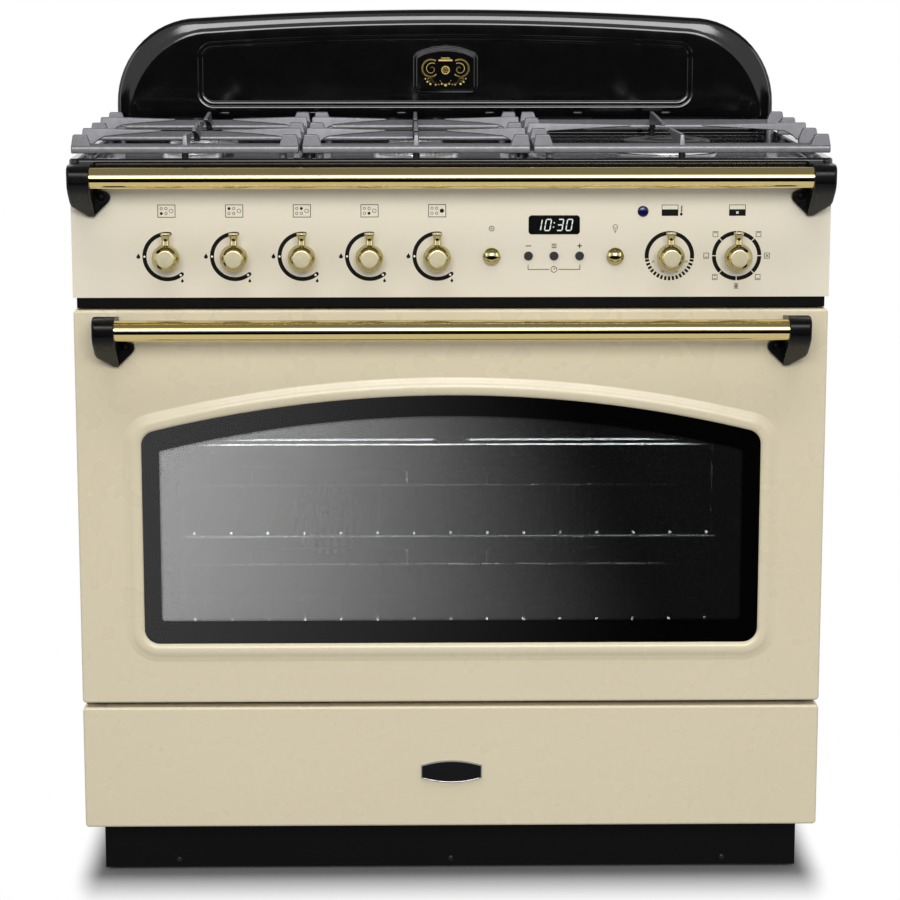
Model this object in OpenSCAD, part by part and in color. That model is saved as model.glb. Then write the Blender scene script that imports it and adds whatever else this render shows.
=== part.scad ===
// Dual fuel range cooker: one wide oven, five gas burners, a storage drawer and a splashback.
// +X is right seen from the front, +Y runs to the rear, +Z is up, and the origin is on the floor
// at the middle of the footprint. Sub-parts are drawn with y = 0 on the face of the oven door.

/* [Overall] */
// Width of the cooker
cooker_w = 900; // [890:1:1000]
// Depth from the face of the door to the rear
body_d = 570; // [565:1:640]
// Thickness of the sheet steel
sheet_t = 1.5; // [1:0.1:1.8]

/* [Levels from the floor up] */
// Height of the plinth, and of the feet behind it
plinth_h = 73; // [65:1:90]
// Height of the drawer front
drawer_h = 152; // [145:1:170]
// Gap between the drawer front and the door
drawer_gap = 6; // [6:0.5:10]
// Height of the oven door
door_h = 483; // [480:1:500]
// Height of the black vent strip between door and control panel
vent_h = 15; // [12:1:18]
// Height of the control panel
panel_h = 154; // [150:1:165]
// Height of the hob's edge
hob_edge_h = 12; // [10:1:16]
// How far the hob's edge stands in front of the door's face
hob_lip = 17; // [12:1:24]

/* [Door] */
// Depth of the door skin's folded sides
skin_d = 25; // [22:1:27]
// Thickness of the whole door
door_t = 36; // [34:1:37]
// Gap between the door and the oven's front frame, which the seal fills
seal_gap = 2.5; // [2:0.1:4]
// From the side of the cooker to the window opening
window_side = 77.5; // [70:0.5:95]
// From the foot of the door to the window opening
window_foot = 74; // [66:1:84]
// From the top of the door to the middle of the window's top
window_down = 103.5; // [96:0.5:118]
// How far the middle of the window's top rises above its corners
window_rise = 46.5; // [30:0.5:60]
// Width of the pressed bead round the window
bead_w = 20; // [14:1:24]
// Height of the pressed bead
bead_t = 3.5; // [2:0.5:5]
// Thickness of the glass panes
glass_t = 4; // [3:0.5:5]
// Height of the hinge axis above the foot of the door
hinge_up = 15; // [14.5:0.5:17]
// Depth of the hinge axis behind the door's face
hinge_in = 14; // [13:0.5:14]
// Radius of the hinge pins
hinge_pin_r = 4; // [3:0.5:5]

/* [Handles] */
// Diameter of the brass tubes
tube_d = 24.5; // [20:0.5:26]
// From the door's face to the middle of the tubes
tube_out = 50; // [45:1:56]
// Height of the handrail below the hob's rim
rail_down = 20; // [17:1:24]
// Height of the door handle below the top of the door
handle_down = 18; // [16:1:24]
// Width of a bracket's arm
arm_w = 26; // [22:1:30]
// From the side of the cooker to the handrail's brackets
rail_side = 3; // [2:1:10]
// From the side of the cooker to the door handle's brackets
handle_side = 28; // [20:1:60]
// Height of a bracket above the middle of its tube
bracket_up = 18; // [15:0.5:19]
// Height of a bracket below the middle of its tube
bracket_down = 49; // [44:1:54]
// Width of a bracket's foot on the face
foot_w = 45; // [40:1:50]

/* [Controls] */
// Height of the knobs above the foot of the control panel
knob_up = 49; // [46:1:54]
// Spacing of the gas knobs
knob_pitch = 80; // [74:1:84]
// From the middle of the cooker to the last gas knob
last_knob = -17; // [-24:1:-10]
// From the middle of the cooker to the temperature knob
temperature_x = 259; // [255:1:264]
// From the middle of the cooker to the function knob
function_x = 339; // [334:1:345]
// Diameter of a knob's ball
knob_d = 33; // [29:1:36]
// From the middle of the knob to the tip of its pointer
pointer_r = 29.5; // [27:0.5:32]
// From the panel to the back of a knob
knob_gap = 5; // [4.5:0.5:7]
// How far a gas knob is pushed in to turn it
knob_push = 3; // [2:0.5:3.5]
// Radius of a gas tap's spindle
spindle_r = 4; // [3:0.5:5]
// Radius of the shafts of the two oven controls
shaft_r = 3; // [2.5:0.5:4]
// From the middle of the cooker to the ignition button
ignition_x = 47.6; // [44:0.1:52]
// From the middle of the cooker to the light button
light_x = 194.3; // [190:0.1:200]
// Diameter of the brass push buttons
button_d = 20.5; // [18:0.5:22]
// How far a brass button travels
button_travel = 3; // [2:0.5:4]
// From the middle of the cooker to the middle of the clock
clock_x = 121.8; // [118:0.1:125]
// Width of the clock's window
clock_w = 61; // [56:1:66]
// Height of the clock's window
clock_h = 22.8; // [20:0.1:25]
// Height of the clock's window above the knobs
clock_up = 37; // [34:1:40]
// Spacing of the clock's buttons
clock_pitch = 30.4; // [28:0.1:32]
// Diameter of the clock's buttons
clock_button_d = 10; // [8:0.5:11]
// How far a clock button travels
clock_travel = 1.5; // [1:0.1:2]
// From the middle of the cooker to the indicator lamp
lamp_x = 227; // [222:1:232]
// Height of the indicator lamp above the knobs
lamp_up = 53; // [48:1:58]
// Diameter of the indicator lamp
lamp_d = 13; // [11:0.5:15]

/* [Hob] */
// Depth of the hob's sunken floor below its rim
hob_sink = 9; // [7:0.5:9]
// Width of the hob's rim
rim_w = 14; // [10:1:18]
// Thickness of the pan supports' frame bars
bar_t = 9; // [7:0.5:11]
// Height of the frame bars' top above the rim
bar_up = 14; // [11:0.5:16]
// Height of the pan supports' top above the rim
support_up = 27; // [24:0.5:32]
// Width of the left pan support
left_support_w = 268; // [255:1:275]
// Width of the middle pan support
middle_support_w = 269; // [255:1:275]
// Gap between two pan supports
support_gap = 4; // [3:1:8]
// From the side of the cooker to the outer pan supports
support_side = 2; // [1:1:8]
// Depth of the pan supports from front to rear
support_d = 430; // [415:1:440]
// Thickness of a pan support's fingers
finger_t = 7; // [5:0.5:8]
// Radii of the burners, from the left front to the right
burner_r = [36, 45, 53, 36, 63];

/* [Splashback] */
// Width of the splashback
splash_w = 892; // [860:1:894]
// Height of the splashback's middle above the hob's rim
splash_h = 158; // [140:1:200]
// How much higher the middle is than the shoulders
splash_rise = 11; // [6:1:16]
// Width of the rounded corners
splash_corner_w = 112; // [80:1:130]
// Height of the rounded corners
splash_corner_h = 115; // [80:1:125]
// Thickness of the splashback
splash_t = 38; // [30:1:42]

/* [Oven] */
// From the side of the cooker to the cavity
cavity_side = 92; // [86:1:100]
// From the top of the door to the roof of the cavity
cavity_down = 52; // [46:1:70]
// Depth of the cavity
cavity_d = 400; // [390:1:430]
// Height of the cavity's floor above the foot of the door
cavity_up = 31; // [29:1:36]
// Height of the fans above the cavity's floor
fan_up = 110; // [100:1:130]
// From the middle of the cavity to each fan
fan_x = 162; // [150:1:175]
// Radius of the fans' impellers
fan_r = 52; // [45:1:58]
// From the fan cover to the cavity's rear wall
baffle_gap = 30; // [28:1:34]
// Spacing of the shelf positions
shelf_pitch = 54.5; // [50:0.5:58]
// Radius of the shelves' outer wires
shelf_wire_r = 3; // [2.5:0.1:3.5]
// Spacing of the shelves' cross wires
wire_pitch = 45; // [40:1:60]

/* [Drawer] */
// From the side of the cooker to the drawer's box
drawer_side = 60; // [54:1:80]
// Depth of the drawer's box
drawer_d = 430; // [400:1:460]
// Height of the drawer's box
drawer_box_h = 118; // [100:1:122]
// Width of the badge
badge_w = 75; // [60:1:90]
// Height of the badge
badge_h = 28; // [22:1:34]

/* [Clearances] */
// Radial clearance of a shaft or pin that turns or slides in its bore
running_fit = 0.05; // [0.02:0.01:0.09]
// Gap between a part that moves and one that it passes
pass_gap = 1; // [0.8:0.1:1.5]
// Gap under a piece that only rests on its seat
seat_gap = 0.3; // [0.2:0.05:0.5]

/* [Hidden] */
$fn = 48;
cut = 1;
half_w = cooker_w / 2;
bracket_out = tube_out + tube_d / 2 + 3.5;
face_y = bracket_out - (bracket_out + body_d) / 2;

drawer_top = plinth_h + drawer_h;
door_foot = drawer_top + drawer_gap;
door_top = door_foot + door_h;
panel_foot = door_top + vent_h;
panel_top = panel_foot + panel_h;
hob_h = panel_top + hob_edge_h;
frame_d = door_t + seal_gap;
body_front = frame_d + sheet_t;
inner_w = cooker_w - 2 * sheet_t;

hinge_z = door_foot + hinge_up;
window_z = door_foot + window_foot;
window_half = half_w - window_side;
window_top = door_top - window_down;
arch_r = (window_half * window_half + window_rise * window_rise) / (2 * window_rise);
corner_r = 18;

knob_z = panel_foot + knob_up;
gas_x = [for (i = [0:4]) last_knob - (4 - i) * knob_pitch];
rail_z = hob_h - rail_down;
handle_z = door_top - handle_down;
clock_z = knob_z + clock_up;
lamp_z = knob_z + lamp_up;

floor_z = hob_h - hob_sink;
support_top = hob_h + support_up;
bar_top = hob_h + bar_up;
support_front = -2;
left_x0 = -half_w + support_side;
middle_x0 = left_x0 + left_support_w + support_gap;
right_x0 = middle_x0 + middle_support_w + support_gap;
right_support_w = half_w - support_side - right_x0;
left_x = left_x0 + left_support_w / 2;
middle_x = middle_x0 + middle_support_w / 2;
right_x = right_x0 + right_support_w / 2;
front_burner = support_front + support_d * 0.27;
rear_burner = support_front + support_d * 0.75;
wok_burner = support_front + support_d * 0.48;
mid_bar = support_front + support_d * 0.5;
burner_at = [
    [left_x, front_burner], [left_x, rear_burner],
    [middle_x, front_burner], [middle_x, rear_burner],
    [right_x, wok_burner]
];

cavity_w = cooker_w - 2 * cavity_side;
cavity_z = door_foot + cavity_up;
cavity_top = door_top - cavity_down;
cavity_back = frame_d + cavity_d;
baffle_d = cavity_back - baffle_gap;
fan_z = cavity_z + fan_up;
rail_r = 2.5;
ladder_x = cavity_w / 2 - 10;
first_rail = cavity_z + 48;
splash_front = body_d - splash_t - 10;

flange_w = 20;
inlet_x = gas_x[0] - 31;
inlet_r = 14;
inlet_thread_r = 9.3;
inlet_l = 15;
cable_x = half_w - 80;
cable_hole_r = 11;
anchor_side = 120;
anchor_hole_r = 4;
anchor_up = 50;
foot_inset = 100;
foot_r = 20;
plinth_side = 18;
plinth_half = half_w - plinth_side;
plinth_set = 52;
plinth_return = 55;
plinth_ledge = 24;
plinth_lift = 4;
stem_share = 0.55;
stem_h = 25;
burner_h = 11;
splash_relief = 4;
splash_band = 17;
inset_side = 113;
inset_up = 28;
inset_down = 44;
inset_line = 5;
inset_half = splash_w / 2 - inset_side;
inset_z0 = hob_h + inset_up;
inset_z1 = hob_h + splash_h - inset_down;
emblem_w = 86;
emblem_z = inset_z0 + 15;
emblem_h = inset_z1 - inset_z0 - 22;
plunger_r = 6;
plunger_end = 20;
socket_d = 16;
clock_body_w = 2 * clock_pitch + 44;
clock_body_d = 16;
clock_pin_r = 3;
clock_pin_end = 9;
clock_cap_out = 2.5;
tap_front = 14;
tap_back = 64;
tap_w = 26;
tap_h = 30;
tap_neck_r = 9;
control_w = 44;
control_d = 44;
switch_w = 22;
switch_d = 30;
spindle_end = 40;
spindle_grip = 12;
shaft_end = 28;
fan_shaft_r = 4;
fan_shaft_in = 25;
motor_r = 36;
motor_l = 50;
motor_neck_r = 24;
motor_neck_l = 12;
cover_half_w = 115;
cover_half_h = fan_r + 20;
slot_rows = 4;
element_r = 3.2;
element_gap = 9;
element_in = 13;
grill_rods = 5;
grill_pitch = 50;
grill_drop = 13;
grill_y0 = frame_d + 45;
grill_half = cavity_w / 2 - 58;
shelf_levels = 6;
lamp_inset = 60;
lamp_rim_r = 24;
lamp_glass_r = 18;
lamp_glass_l = 22;
ladder_y0 = frame_d + 60;
ladder_y1 = baffle_d - 60;
upright_x = cavity_w / 2 - 5.5;
shelf_x = ladder_x - 2.5;
shelf_y0 = frame_d + 25;
shelf_y1 = baffle_d - 10;
hinge_x = half_w - 25;
hinge_t = 6;
hinge_r = 9;
arm_t = 5;
arm_r = 8.5;
arm_x = hinge_x + hinge_t + pass_gap;
hinge_arm_l = 84;
drawer_w = cooker_w - 2 * drawer_side;
drawer_up = 10;
drawer_fold = 22;
runner_gap = 12;
runner_w = 12;
runner_h = 24;
runner_t = 2;
runner_up = 65;
runner_x = drawer_w / 2 + runner_gap;
runner_y0 = body_front + 2;
runner_y1 = drawer_d + 20;
runner_z0 = plinth_h + runner_up;
runner_z1 = runner_z0 + runner_h;
seal_out = 15;
seal_w = 10;
inner_front = 10;
inner_plate = sheet_t;
inner_glass_half = cavity_w / 2 - 8;
inner_glass_z0 = cavity_z + 20;
inner_glass_z1 = cavity_top - 20;
pane_lap = 20;
bar_foot = bar_top - bar_t;
tab_w = 20;
leg_in = 20;
wok_tab = 97;
wok_gap = 45;

module at_face() translate([0, face_y, 0]) children();
module both() for (s = [-1, 1]) scale_x(s) children();
module scale_x(s) if (s < 0) mirror([1, 0, 0]) children(); else children();
module block(x0, x1, y0, y1, z0, z1) translate([x0, y0, z0]) cube([x1 - x0, y1 - y0, z1 - z0]);
module along_y(r, y0, y1) translate([0, y0, 0]) rotate([-90, 0, 0]) cylinder(r = r, h = y1 - y0);
module along_x(r, x0, x1) translate([x0, 0, 0]) rotate([0, 90, 0]) cylinder(r = r, h = x1 - x0);
// Draws an outline given in x and z, from depth y0 to y1.
module upright(y0, y1) translate([0, y1, 0]) rotate([90, 0, 0]) linear_extrude(y1 - y0) children();
// Draws an outline given in depth and z, from x0 to x1.
module sideways(x0, x1) translate([x0, 0, 0]) rotate([90, 0, 90]) linear_extrude(x1 - x0) children();
module rounded(x0, x1, z0, z1, r) {
    translate([x0 + r, z0]) square([x1 - x0 - 2 * r, z1 - z0]);
    translate([x0, z0 + r]) square([x1 - x0, z1 - z0 - 2 * r]);
    for (x = [x0 + r, x1 - r], z = [z0 + r, z1 - r]) translate([x, z]) circle(r);
}

function arc(cx, cz, r, a0, a1, n) =
    [for (i = [0:n]) let (a = a0 + (a1 - a0) * i / n) [cx + r * cos(a), cz + r * sin(a)]];

// The window's outline, grown by g on every side: a flat foot, upright sides and an arched top.
function window_outline(g) =
    let (w = window_half + g, r = corner_r + g, big = arch_r + g, arch_z = window_top - arch_r,
         cx = w - r, cz = arch_z + sqrt((big - r) * (big - r) - cx * cx), lean = atan2(cz - arch_z, cx))
    concat(
        arc(cx, window_z - g + r, r, -90, 0, 6), arc(cx, cz, r, 0, lean, 6),
        arc(0, arch_z, big, lean, 180 - lean, 24),
        arc(-cx, cz, r, 180 - lean, 180, 6), arc(-cx, window_z - g + r, r, 180, 270, 6)
    );

// The splashback's outline, inset by g: upright sides, rounded shoulders and a gently arched top.
function splash_outline(g) =
    let (w = splash_w / 2 - g, a = splash_corner_w, b = splash_corner_h, x1 = w - a,
         top = hob_h + splash_h - g, z1 = top - splash_rise,
         big = (x1 * x1 + splash_rise * splash_rise) / (2 * splash_rise), lean = asin(x1 / big))
    concat(
        [[w, hob_h]],
        [for (i = [0:10]) let (t = 9 * i) [x1 + a * cos(t), z1 - b + b * sin(t)]],
        arc(0, top - big, big, 90 - lean + lean / 6, 90 + lean - lean / 6, 10),
        [for (i = [0:10]) let (t = 90 - 9 * i) [-x1 - a * cos(t), z1 - b + b * sin(t)]],
        [[-w, hob_h]]
    );

// A folded-edge pan: a front sheet with sides that run back, open at the rear.
module pan(x0, x1, z0, z1, depth) difference() {
    block(x0, x1, 0, depth, z0, z1);
    block(x0 + sheet_t, x1 - sheet_t, sheet_t, depth + cut, z0 + sheet_t, z1 - sheet_t);
}

module side_panels() color("#1b1b1c") at_face() both() {
    block(half_w - sheet_t, half_w, body_front, body_d - sheet_t, plinth_h, panel_top);
    for (y = [body_front, body_d - 2 * sheet_t])
        block(half_w - flange_w, half_w, y, y + sheet_t, plinth_h, panel_top);
}

module back_panel() color("#8f9294") at_face() difference() {
    block(-half_w, half_w, body_d - sheet_t, body_d, plinth_h, panel_top);
    translate([inlet_x, 0, knob_z]) along_y(inlet_r + pass_gap, body_d - 2 * sheet_t, body_d + cut);
    translate([cable_x, 0, knob_z]) along_y(cable_hole_r, body_d - 2 * sheet_t, body_d + cut);
    for (x = [anchor_side - half_w, half_w - anchor_side])
        translate([x, 0, knob_z + anchor_up]) along_y(anchor_hole_r, body_d - 2 * sheet_t, body_d + cut);
    for (i = [-6:6])
        block(i * 24 - 3, i * 24 + 3, body_d - 2 * sheet_t, body_d + cut, fan_z - 30, fan_z + 30);
}

module base_panel() color("#8f9294") at_face()
    block(-inner_w / 2, inner_w / 2, body_front + sheet_t, body_d - 2 * sheet_t,
          plinth_h, plinth_h + sheet_t);

module levelling_feet() color("#3a3a3c") at_face() both()
    for (y = [foot_inset, body_d - foot_inset]) translate([half_w - 50, y, 0]) {
        cylinder(r = foot_r, h = 12);
        cylinder(r = foot_r * 0.4, h = plinth_h);
    }

module plinth() color("#151515") at_face() {
    block(-plinth_half, plinth_half, plinth_set, plinth_set + sheet_t, plinth_lift, plinth_h);
    both() block(plinth_half - sheet_t, plinth_half, plinth_set, plinth_set + plinth_return,
                 plinth_lift, plinth_h);
    block(-plinth_half, plinth_half, plinth_set, plinth_set + plinth_ledge, plinth_h - sheet_t, plinth_h);
}

module vent_trim() color("#101010") at_face() translate([0, 6, 0])
    pan(-half_w + 4, half_w - 4, door_top + 2, panel_foot, frame_d - 6);

module hob_plan(g) {
    r = rim_w;
    translate([-half_w + g, r - hob_lip]) square([cooker_w - 2 * g, body_d + hob_lip - r - g]);
    translate([-half_w + r, g - hob_lip]) square([cooker_w - 2 * r, r]);
    for (x = [r - half_w, half_w - r]) translate([x, r - hob_lip]) circle(r - g);
}

module hob_tray() color("#0e0e0f") at_face() {
    recess_x = half_w - rim_w;
    recess_y0 = rim_w - hob_lip;
    recess_y1 = splash_front - 8;
    difference() {
        translate([0, 0, panel_top]) linear_extrude(hob_edge_h) hob_plan(0);
        block(-recess_x, recess_x, recess_y0, recess_y1, floor_z, hob_h + cut);
        difference() {
            translate([0, 0, panel_top - cut]) linear_extrude(hob_edge_h + cut - sheet_t) hob_plan(sheet_t);
            block(-recess_x - sheet_t, recess_x + sheet_t, recess_y0 - sheet_t, recess_y1 + sheet_t,
                  floor_z - sheet_t, hob_h);
        }
        for (i = [0:4]) translate([burner_at[i][0], burner_at[i][1], panel_top - cut])
            cylinder(r = burner_r[i] * stem_share + pass_gap, h = hob_edge_h);
    }
}

module burner_bases() color("#a9abad") at_face()
    for (i = [0:4]) translate([burner_at[i][0], burner_at[i][1], floor_z]) {
        cylinder(r = burner_r[i], h = 5);
        cylinder(r = burner_r[i] * 0.82, h = burner_h);
        translate([0, 0, -stem_h]) cylinder(r = burner_r[i] * stem_share, h = stem_h + cut);
    }

module burner_caps() color("#161616") at_face() for (i = [0:4])
    translate([burner_at[i][0], burner_at[i][1], floor_z + burner_h]) {
        if (i < 4) {
            cylinder(r = burner_r[i] * 0.86, h = 4);
            cylinder(r = burner_r[i] * 0.74, h = 6);
        } else {
            difference() {
                cylinder(r = burner_r[i] * 0.86, h = 5);
                translate([0, 0, -cut]) cylinder(r = burner_r[i] * 0.5, h = 5 + 2 * cut);
            }
            cylinder(r = burner_r[i] * 0.3, h = 6);
        }
    }

module splashback() color("#0e0e0f") at_face() {
    front = splash_front + splash_relief;
    difference() {
        upright(front, splash_front + splash_t) polygon(splash_outline(0));
        upright(front + sheet_t, splash_front + splash_t + cut) polygon(splash_outline(sheet_t));
    }
    difference() {
        upright(splash_front, front) polygon(splash_outline(0));
        upright(splash_front - cut, front + cut) polygon(splash_outline(splash_band));
    }
    difference() {
        upright(splash_front + 1.5, front) rounded(-inset_half, inset_half, inset_z0, inset_z1, 24);
        upright(splash_front, front + cut)
            rounded(inset_line - inset_half, inset_half - inset_line,
                    inset_z0 + inset_line, inset_z1 - inset_line, 24 - inset_line);
    }
    upright(splash_front, front) rounded(-emblem_w / 2, emblem_w / 2, emblem_z, emblem_z + emblem_h, 8);
}

module control_panel() color("#e3d6b8") at_face() difference() {
    pan(-half_w, half_w, panel_foot, panel_top, body_front);
    for (x = gas_x) panel_hole(x, knob_z, spindle_r + pass_gap);
    for (x = [temperature_x, function_x]) panel_hole(x, knob_z, shaft_r + pass_gap);
    for (x = [ignition_x, light_x]) panel_hole(x, knob_z, plunger_r + pass_gap);
    for (i = [-1:1]) panel_hole(clock_x + i * clock_pitch, knob_z, clock_button_d / 2 + seat_gap);
    panel_hole(lamp_x, lamp_z, lamp_d / 2 - 1.5);
    upright(-cut, sheet_t + cut) clock_window(0);
}
module panel_hole(x, z, r) translate([x, 0, z]) along_y(r, -cut, sheet_t + cut);
module clock_window(g)
    rounded(clock_x - clock_w / 2 + g, clock_x + clock_w / 2 - g,
            clock_z - clock_h / 2 + g, clock_z + clock_h / 2 - g, 4 - g);

// A tube between two brackets, its ends held in their sockets.
module tube(side, z) {
    end = half_w - side - arm_w + socket_d;
    translate([0, -tube_out, z]) difference() {
        along_x(tube_d / 2, -end, end);
        along_x(tube_d / 2 - sheet_t, -end - cut, end + cut);
    }
}
module handrail() color("#b08d3e") at_face() tube(rail_side, rail_z);

// A cast bracket: an arm that tapers down to a pointed foot with a sunk screw hole.
module bracket(side, z, top) {
    x1 = half_w - side;
    x0 = x1 - arm_w;
    front = -bracket_out;
    step = -hob_lip - pass_gap;
    difference() {
        union() {
            sideways(x0, x1) polygon([
                [0, z + top], [step, z + top], [step, z + bracket_up], [front + 6, z + bracket_up],
                [front, z + bracket_up - 6], [front, z - 9], [front + 9, z - 17],
                [-10, z + 2 - bracket_down], [-8, z - bracket_down], [0, z - bracket_down]
            ]);
            upright(-8, 0) polygon([
                [x1, z], [x1, z - bracket_down + 18], [x1 - 18, z - bracket_down],
                [x1 - 26, z - bracket_down], [x1 - foot_w, z - 26], [x1 - foot_w, z - 18], [x0, z]
            ]);
        }
        translate([0, -tube_out, z]) along_x(tube_d / 2 + running_fit, x0 - cut, x0 + socket_d);
        translate([x0 - 7, 0, z - 24]) {
            along_y(2.7, -9, cut);
            along_y(5.5, -9, -4);
        }
    }
}
module handrail_brackets() color("#141414") at_face() both()
    bracket(rail_side, rail_z, panel_top - rail_z - seat_gap);

module clock_display() color("#0c0c0d") at_face() difference() {
    union() {
        upright(-0.6, sheet_t + cut) clock_window(seat_gap);
        block(clock_x - clock_body_w / 2, clock_x + clock_body_w / 2, sheet_t, clock_body_d,
              knob_z - 12, clock_z + clock_h / 2 + 6);
    }
    for (i = [-1:1]) translate([clock_x + i * clock_pitch, 0, knob_z])
        along_y(clock_pin_r + running_fit, 0, clock_body_d - 2);
}

module indicator_lamp() color("#1d2a6b") at_face() translate([lamp_x, 0, lamp_z]) {
    along_y(lamp_d / 2, -1.2, 0);
    along_y(lamp_d / 2 - 1, -2.2, -1);
    along_y(lamp_d / 2 - 2, -2, 14);
}

module gas_manifold() color("#9b9ea1") at_face() difference() {
    union() {
        block(inlet_x - 10, gas_x[4] + 20, tap_back, tap_back + 18, knob_z - 9, knob_z + 9);
        translate([inlet_x, 0, knob_z]) along_y(8, tap_back + 9, body_d - inlet_l);
        translate([inlet_x, 0, knob_z]) along_y(inlet_r, body_d - inlet_l - 5, body_d);
    }
    translate([inlet_x, 0, knob_z]) along_y(inlet_thread_r, body_d - inlet_l, body_d + cut);
}

module gas_taps() color("#b9a46a") at_face() for (x = gas_x) translate([x, 0, knob_z]) difference() {
    union() {
        block(-tap_w / 2, tap_w / 2, tap_front, tap_back, -tap_h / 2, tap_h / 2);
        along_y(tap_neck_r, tap_front - 4, tap_front + 6);
    }
    along_y(spindle_r + running_fit, 0, spindle_end + 2);
}

module oven_controls() color("#d8d8d2") at_face() {
    for (x = [temperature_x, function_x]) translate([x, 0, knob_z]) difference() {
        block(-control_w / 2, control_w / 2, sheet_t, control_d, -control_w / 2, control_w / 2);
        along_y(shaft_r + running_fit, 0, shaft_end + 2);
    }
    for (x = [ignition_x, light_x]) translate([x, 0, knob_z]) difference() {
        block(-switch_w / 2, switch_w / 2, sheet_t, switch_d, -switch_w / 2 - 1, switch_w / 2 + 1);
        along_y(plunger_r + running_fit, 0, plunger_end + button_travel + 2);
    }
}

module oven_liner() color("#3c4046") at_face() difference() {
    union() {
        block(-cavity_w / 2 - sheet_t, cavity_w / 2 + sheet_t, frame_d, cavity_back + sheet_t,
              cavity_z - sheet_t, cavity_top + sheet_t);
        block(-half_w + 1, half_w - 1, frame_d, body_front, door_foot + 1, door_top - 2);
    }
    block(-cavity_w / 2, cavity_w / 2, frame_d - cut, cavity_back, cavity_z, cavity_top);
    both() translate([fan_x, 0, fan_z])
        along_y(fan_shaft_r + 2, cavity_back - cut, cavity_back + 2 * sheet_t);
}

// Two pressed covers on the rear wall, slotted in front of the fans.
module fan_baffle() color("#4a4f56") at_face() both() translate([fan_x, 0, fan_z]) difference() {
    block(-cover_half_w, cover_half_w, baffle_d, cavity_back, -cover_half_h, cover_half_h);
    block(-cover_half_w + sheet_t, cover_half_w - sheet_t, baffle_d + sheet_t, cavity_back + cut,
          -cover_half_h + sheet_t, cover_half_h - sheet_t);
    for (i = [-slot_rows:slot_rows]) {
        x = i * fan_r / (slot_rows + 1);
        half_slot = 0.9 * sqrt(fan_r * fan_r - x * x);
        block(x - 2.5, x + 2.5, baffle_d - cut, baffle_d + sheet_t + cut, -half_slot, half_slot);
    }
}

module fan_motors() color("#7d8083") at_face() both() translate([fan_x, 0, fan_z]) {
    wall = cavity_back + sheet_t;
    difference() {
        union() {
            along_y(motor_neck_r, wall, wall + motor_neck_l);
            along_y(motor_r, wall + motor_neck_l, wall + motor_l);
        }
        along_y(fan_shaft_r + running_fit, cavity_back, wall + fan_shaft_in + 2);
    }
}

module oven_elements() color("#5a5a5c") at_face() {
    ring_r = fan_r + element_gap;
    ring_d = baffle_d + element_in;
    both() translate([fan_x, 0, fan_z]) {
        translate([0, ring_d, 0]) rotate([90, 0, 0])
            rotate_extrude() translate([ring_r, 0]) circle(element_r);
        translate([ring_r, 0, 0]) along_y(element_r * 0.8, ring_d, cavity_back);
        translate([-ring_r, 0, 0]) along_y(element_r * 0.8, ring_d, cavity_back);
    }
    grill_z = cavity_top - grill_drop;
    for (i = [0:grill_rods - 1]) translate([0, grill_y0 + i * grill_pitch, grill_z])
        along_x(element_r, -grill_half, grill_half);
    both() block(grill_half - cut, grill_half + 8, grill_y0 - 10, grill_y0 + 10 + (grill_rods - 1) * grill_pitch,
                 grill_z - 5, cavity_top);
}

// One side's upright wires and the rails that carry the shelves, held off the wall by short pins.
module shelf_ladders() color("#b9bcbf") at_face() both() {
    for (y = [ladder_y0, ladder_y1]) translate([upright_x, y, 0]) {
        translate([0, 0, first_rail - 20]) cylinder(r = 3, h = (shelf_levels - 1) * shelf_pitch + 40);
        for (z = [first_rail - 14, first_rail + (shelf_levels - 1) * shelf_pitch + 14])
            translate([0, 0, z]) along_x(2.6, 0, cavity_w / 2 - upright_x);
    }
    for (i = [0:shelf_levels - 1]) translate([ladder_x, 0, first_rail + i * shelf_pitch])
        along_y(rail_r, ladder_y0 - 25, ladder_y1 + 25);
}

module oven_shelves() color("#c4c7ca") at_face() for (level = [0, 2]) {
    z = first_rail + level * shelf_pitch + rail_r + shelf_wire_r + seat_gap;
    wires = floor((shelf_x - 10) / wire_pitch);
    translate([0, 0, z]) {
        both() translate([shelf_x, 0, 0]) along_y(shelf_wire_r, shelf_y0, shelf_y1);
        for (y = [shelf_y0 + 8, shelf_y1 - 8]) translate([0, y, 0])
            along_x(shelf_wire_r * 0.85, -shelf_x, shelf_x);
        for (i = [-wires:wires]) translate([i * wire_pitch, 0, 0])
            along_y(shelf_wire_r * 0.6, shelf_y0 + 8, shelf_y1 - 8);
    }
}

module oven_lamp() color("#e9e4cf") at_face()
    translate([cavity_w / 2 - lamp_inset, 0, cavity_top - lamp_inset]) {
        along_y(lamp_rim_r, cavity_back - 6, cavity_back);
        along_y(lamp_glass_r, cavity_back - lamp_glass_l, cavity_back - 5);
    }

module hinge_brackets() color("#6f7275") at_face() both() translate([0, 0, hinge_z]) {
    block(hinge_x, hinge_x + hinge_t, hinge_in - 6, frame_d, -hinge_r, hinge_r);
    block(hinge_x - 5, hinge_x + 15, frame_d - 4, frame_d, -hinge_r, hinge_r);
    translate([0, hinge_in, 0]) along_x(hinge_pin_r, hinge_x + hinge_t - cut, arm_x + arm_t + 2);
}

module drawer_runners() color("#8f9294") at_face() both() {
    difference() {
        block(runner_x, runner_x + runner_w, runner_y0, runner_y1, runner_z0, runner_z1);
        block(runner_x - cut, runner_x + runner_w - runner_t, runner_y0 - cut, runner_y1 + cut,
              runner_z0 + runner_t, runner_z1 - runner_t);
    }
    for (y = [runner_y0 + 20, runner_y1 - 60])
        block(runner_x + runner_w, half_w - sheet_t, y, y + 30, runner_z0 + 4, runner_z1 - 4);
}

module door_seal() color("#54565a") at_face() difference() {
    upright(door_t + seat_gap, frame_d) seal_plan(seal_out);
    upright(door_t, frame_d + cut) seal_plan(seal_out - seal_w);
}
module seal_plan(g) rounded(-cavity_w / 2 - g, cavity_w / 2 + g, cavity_z - g, cavity_top + g, g + 5);

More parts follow.
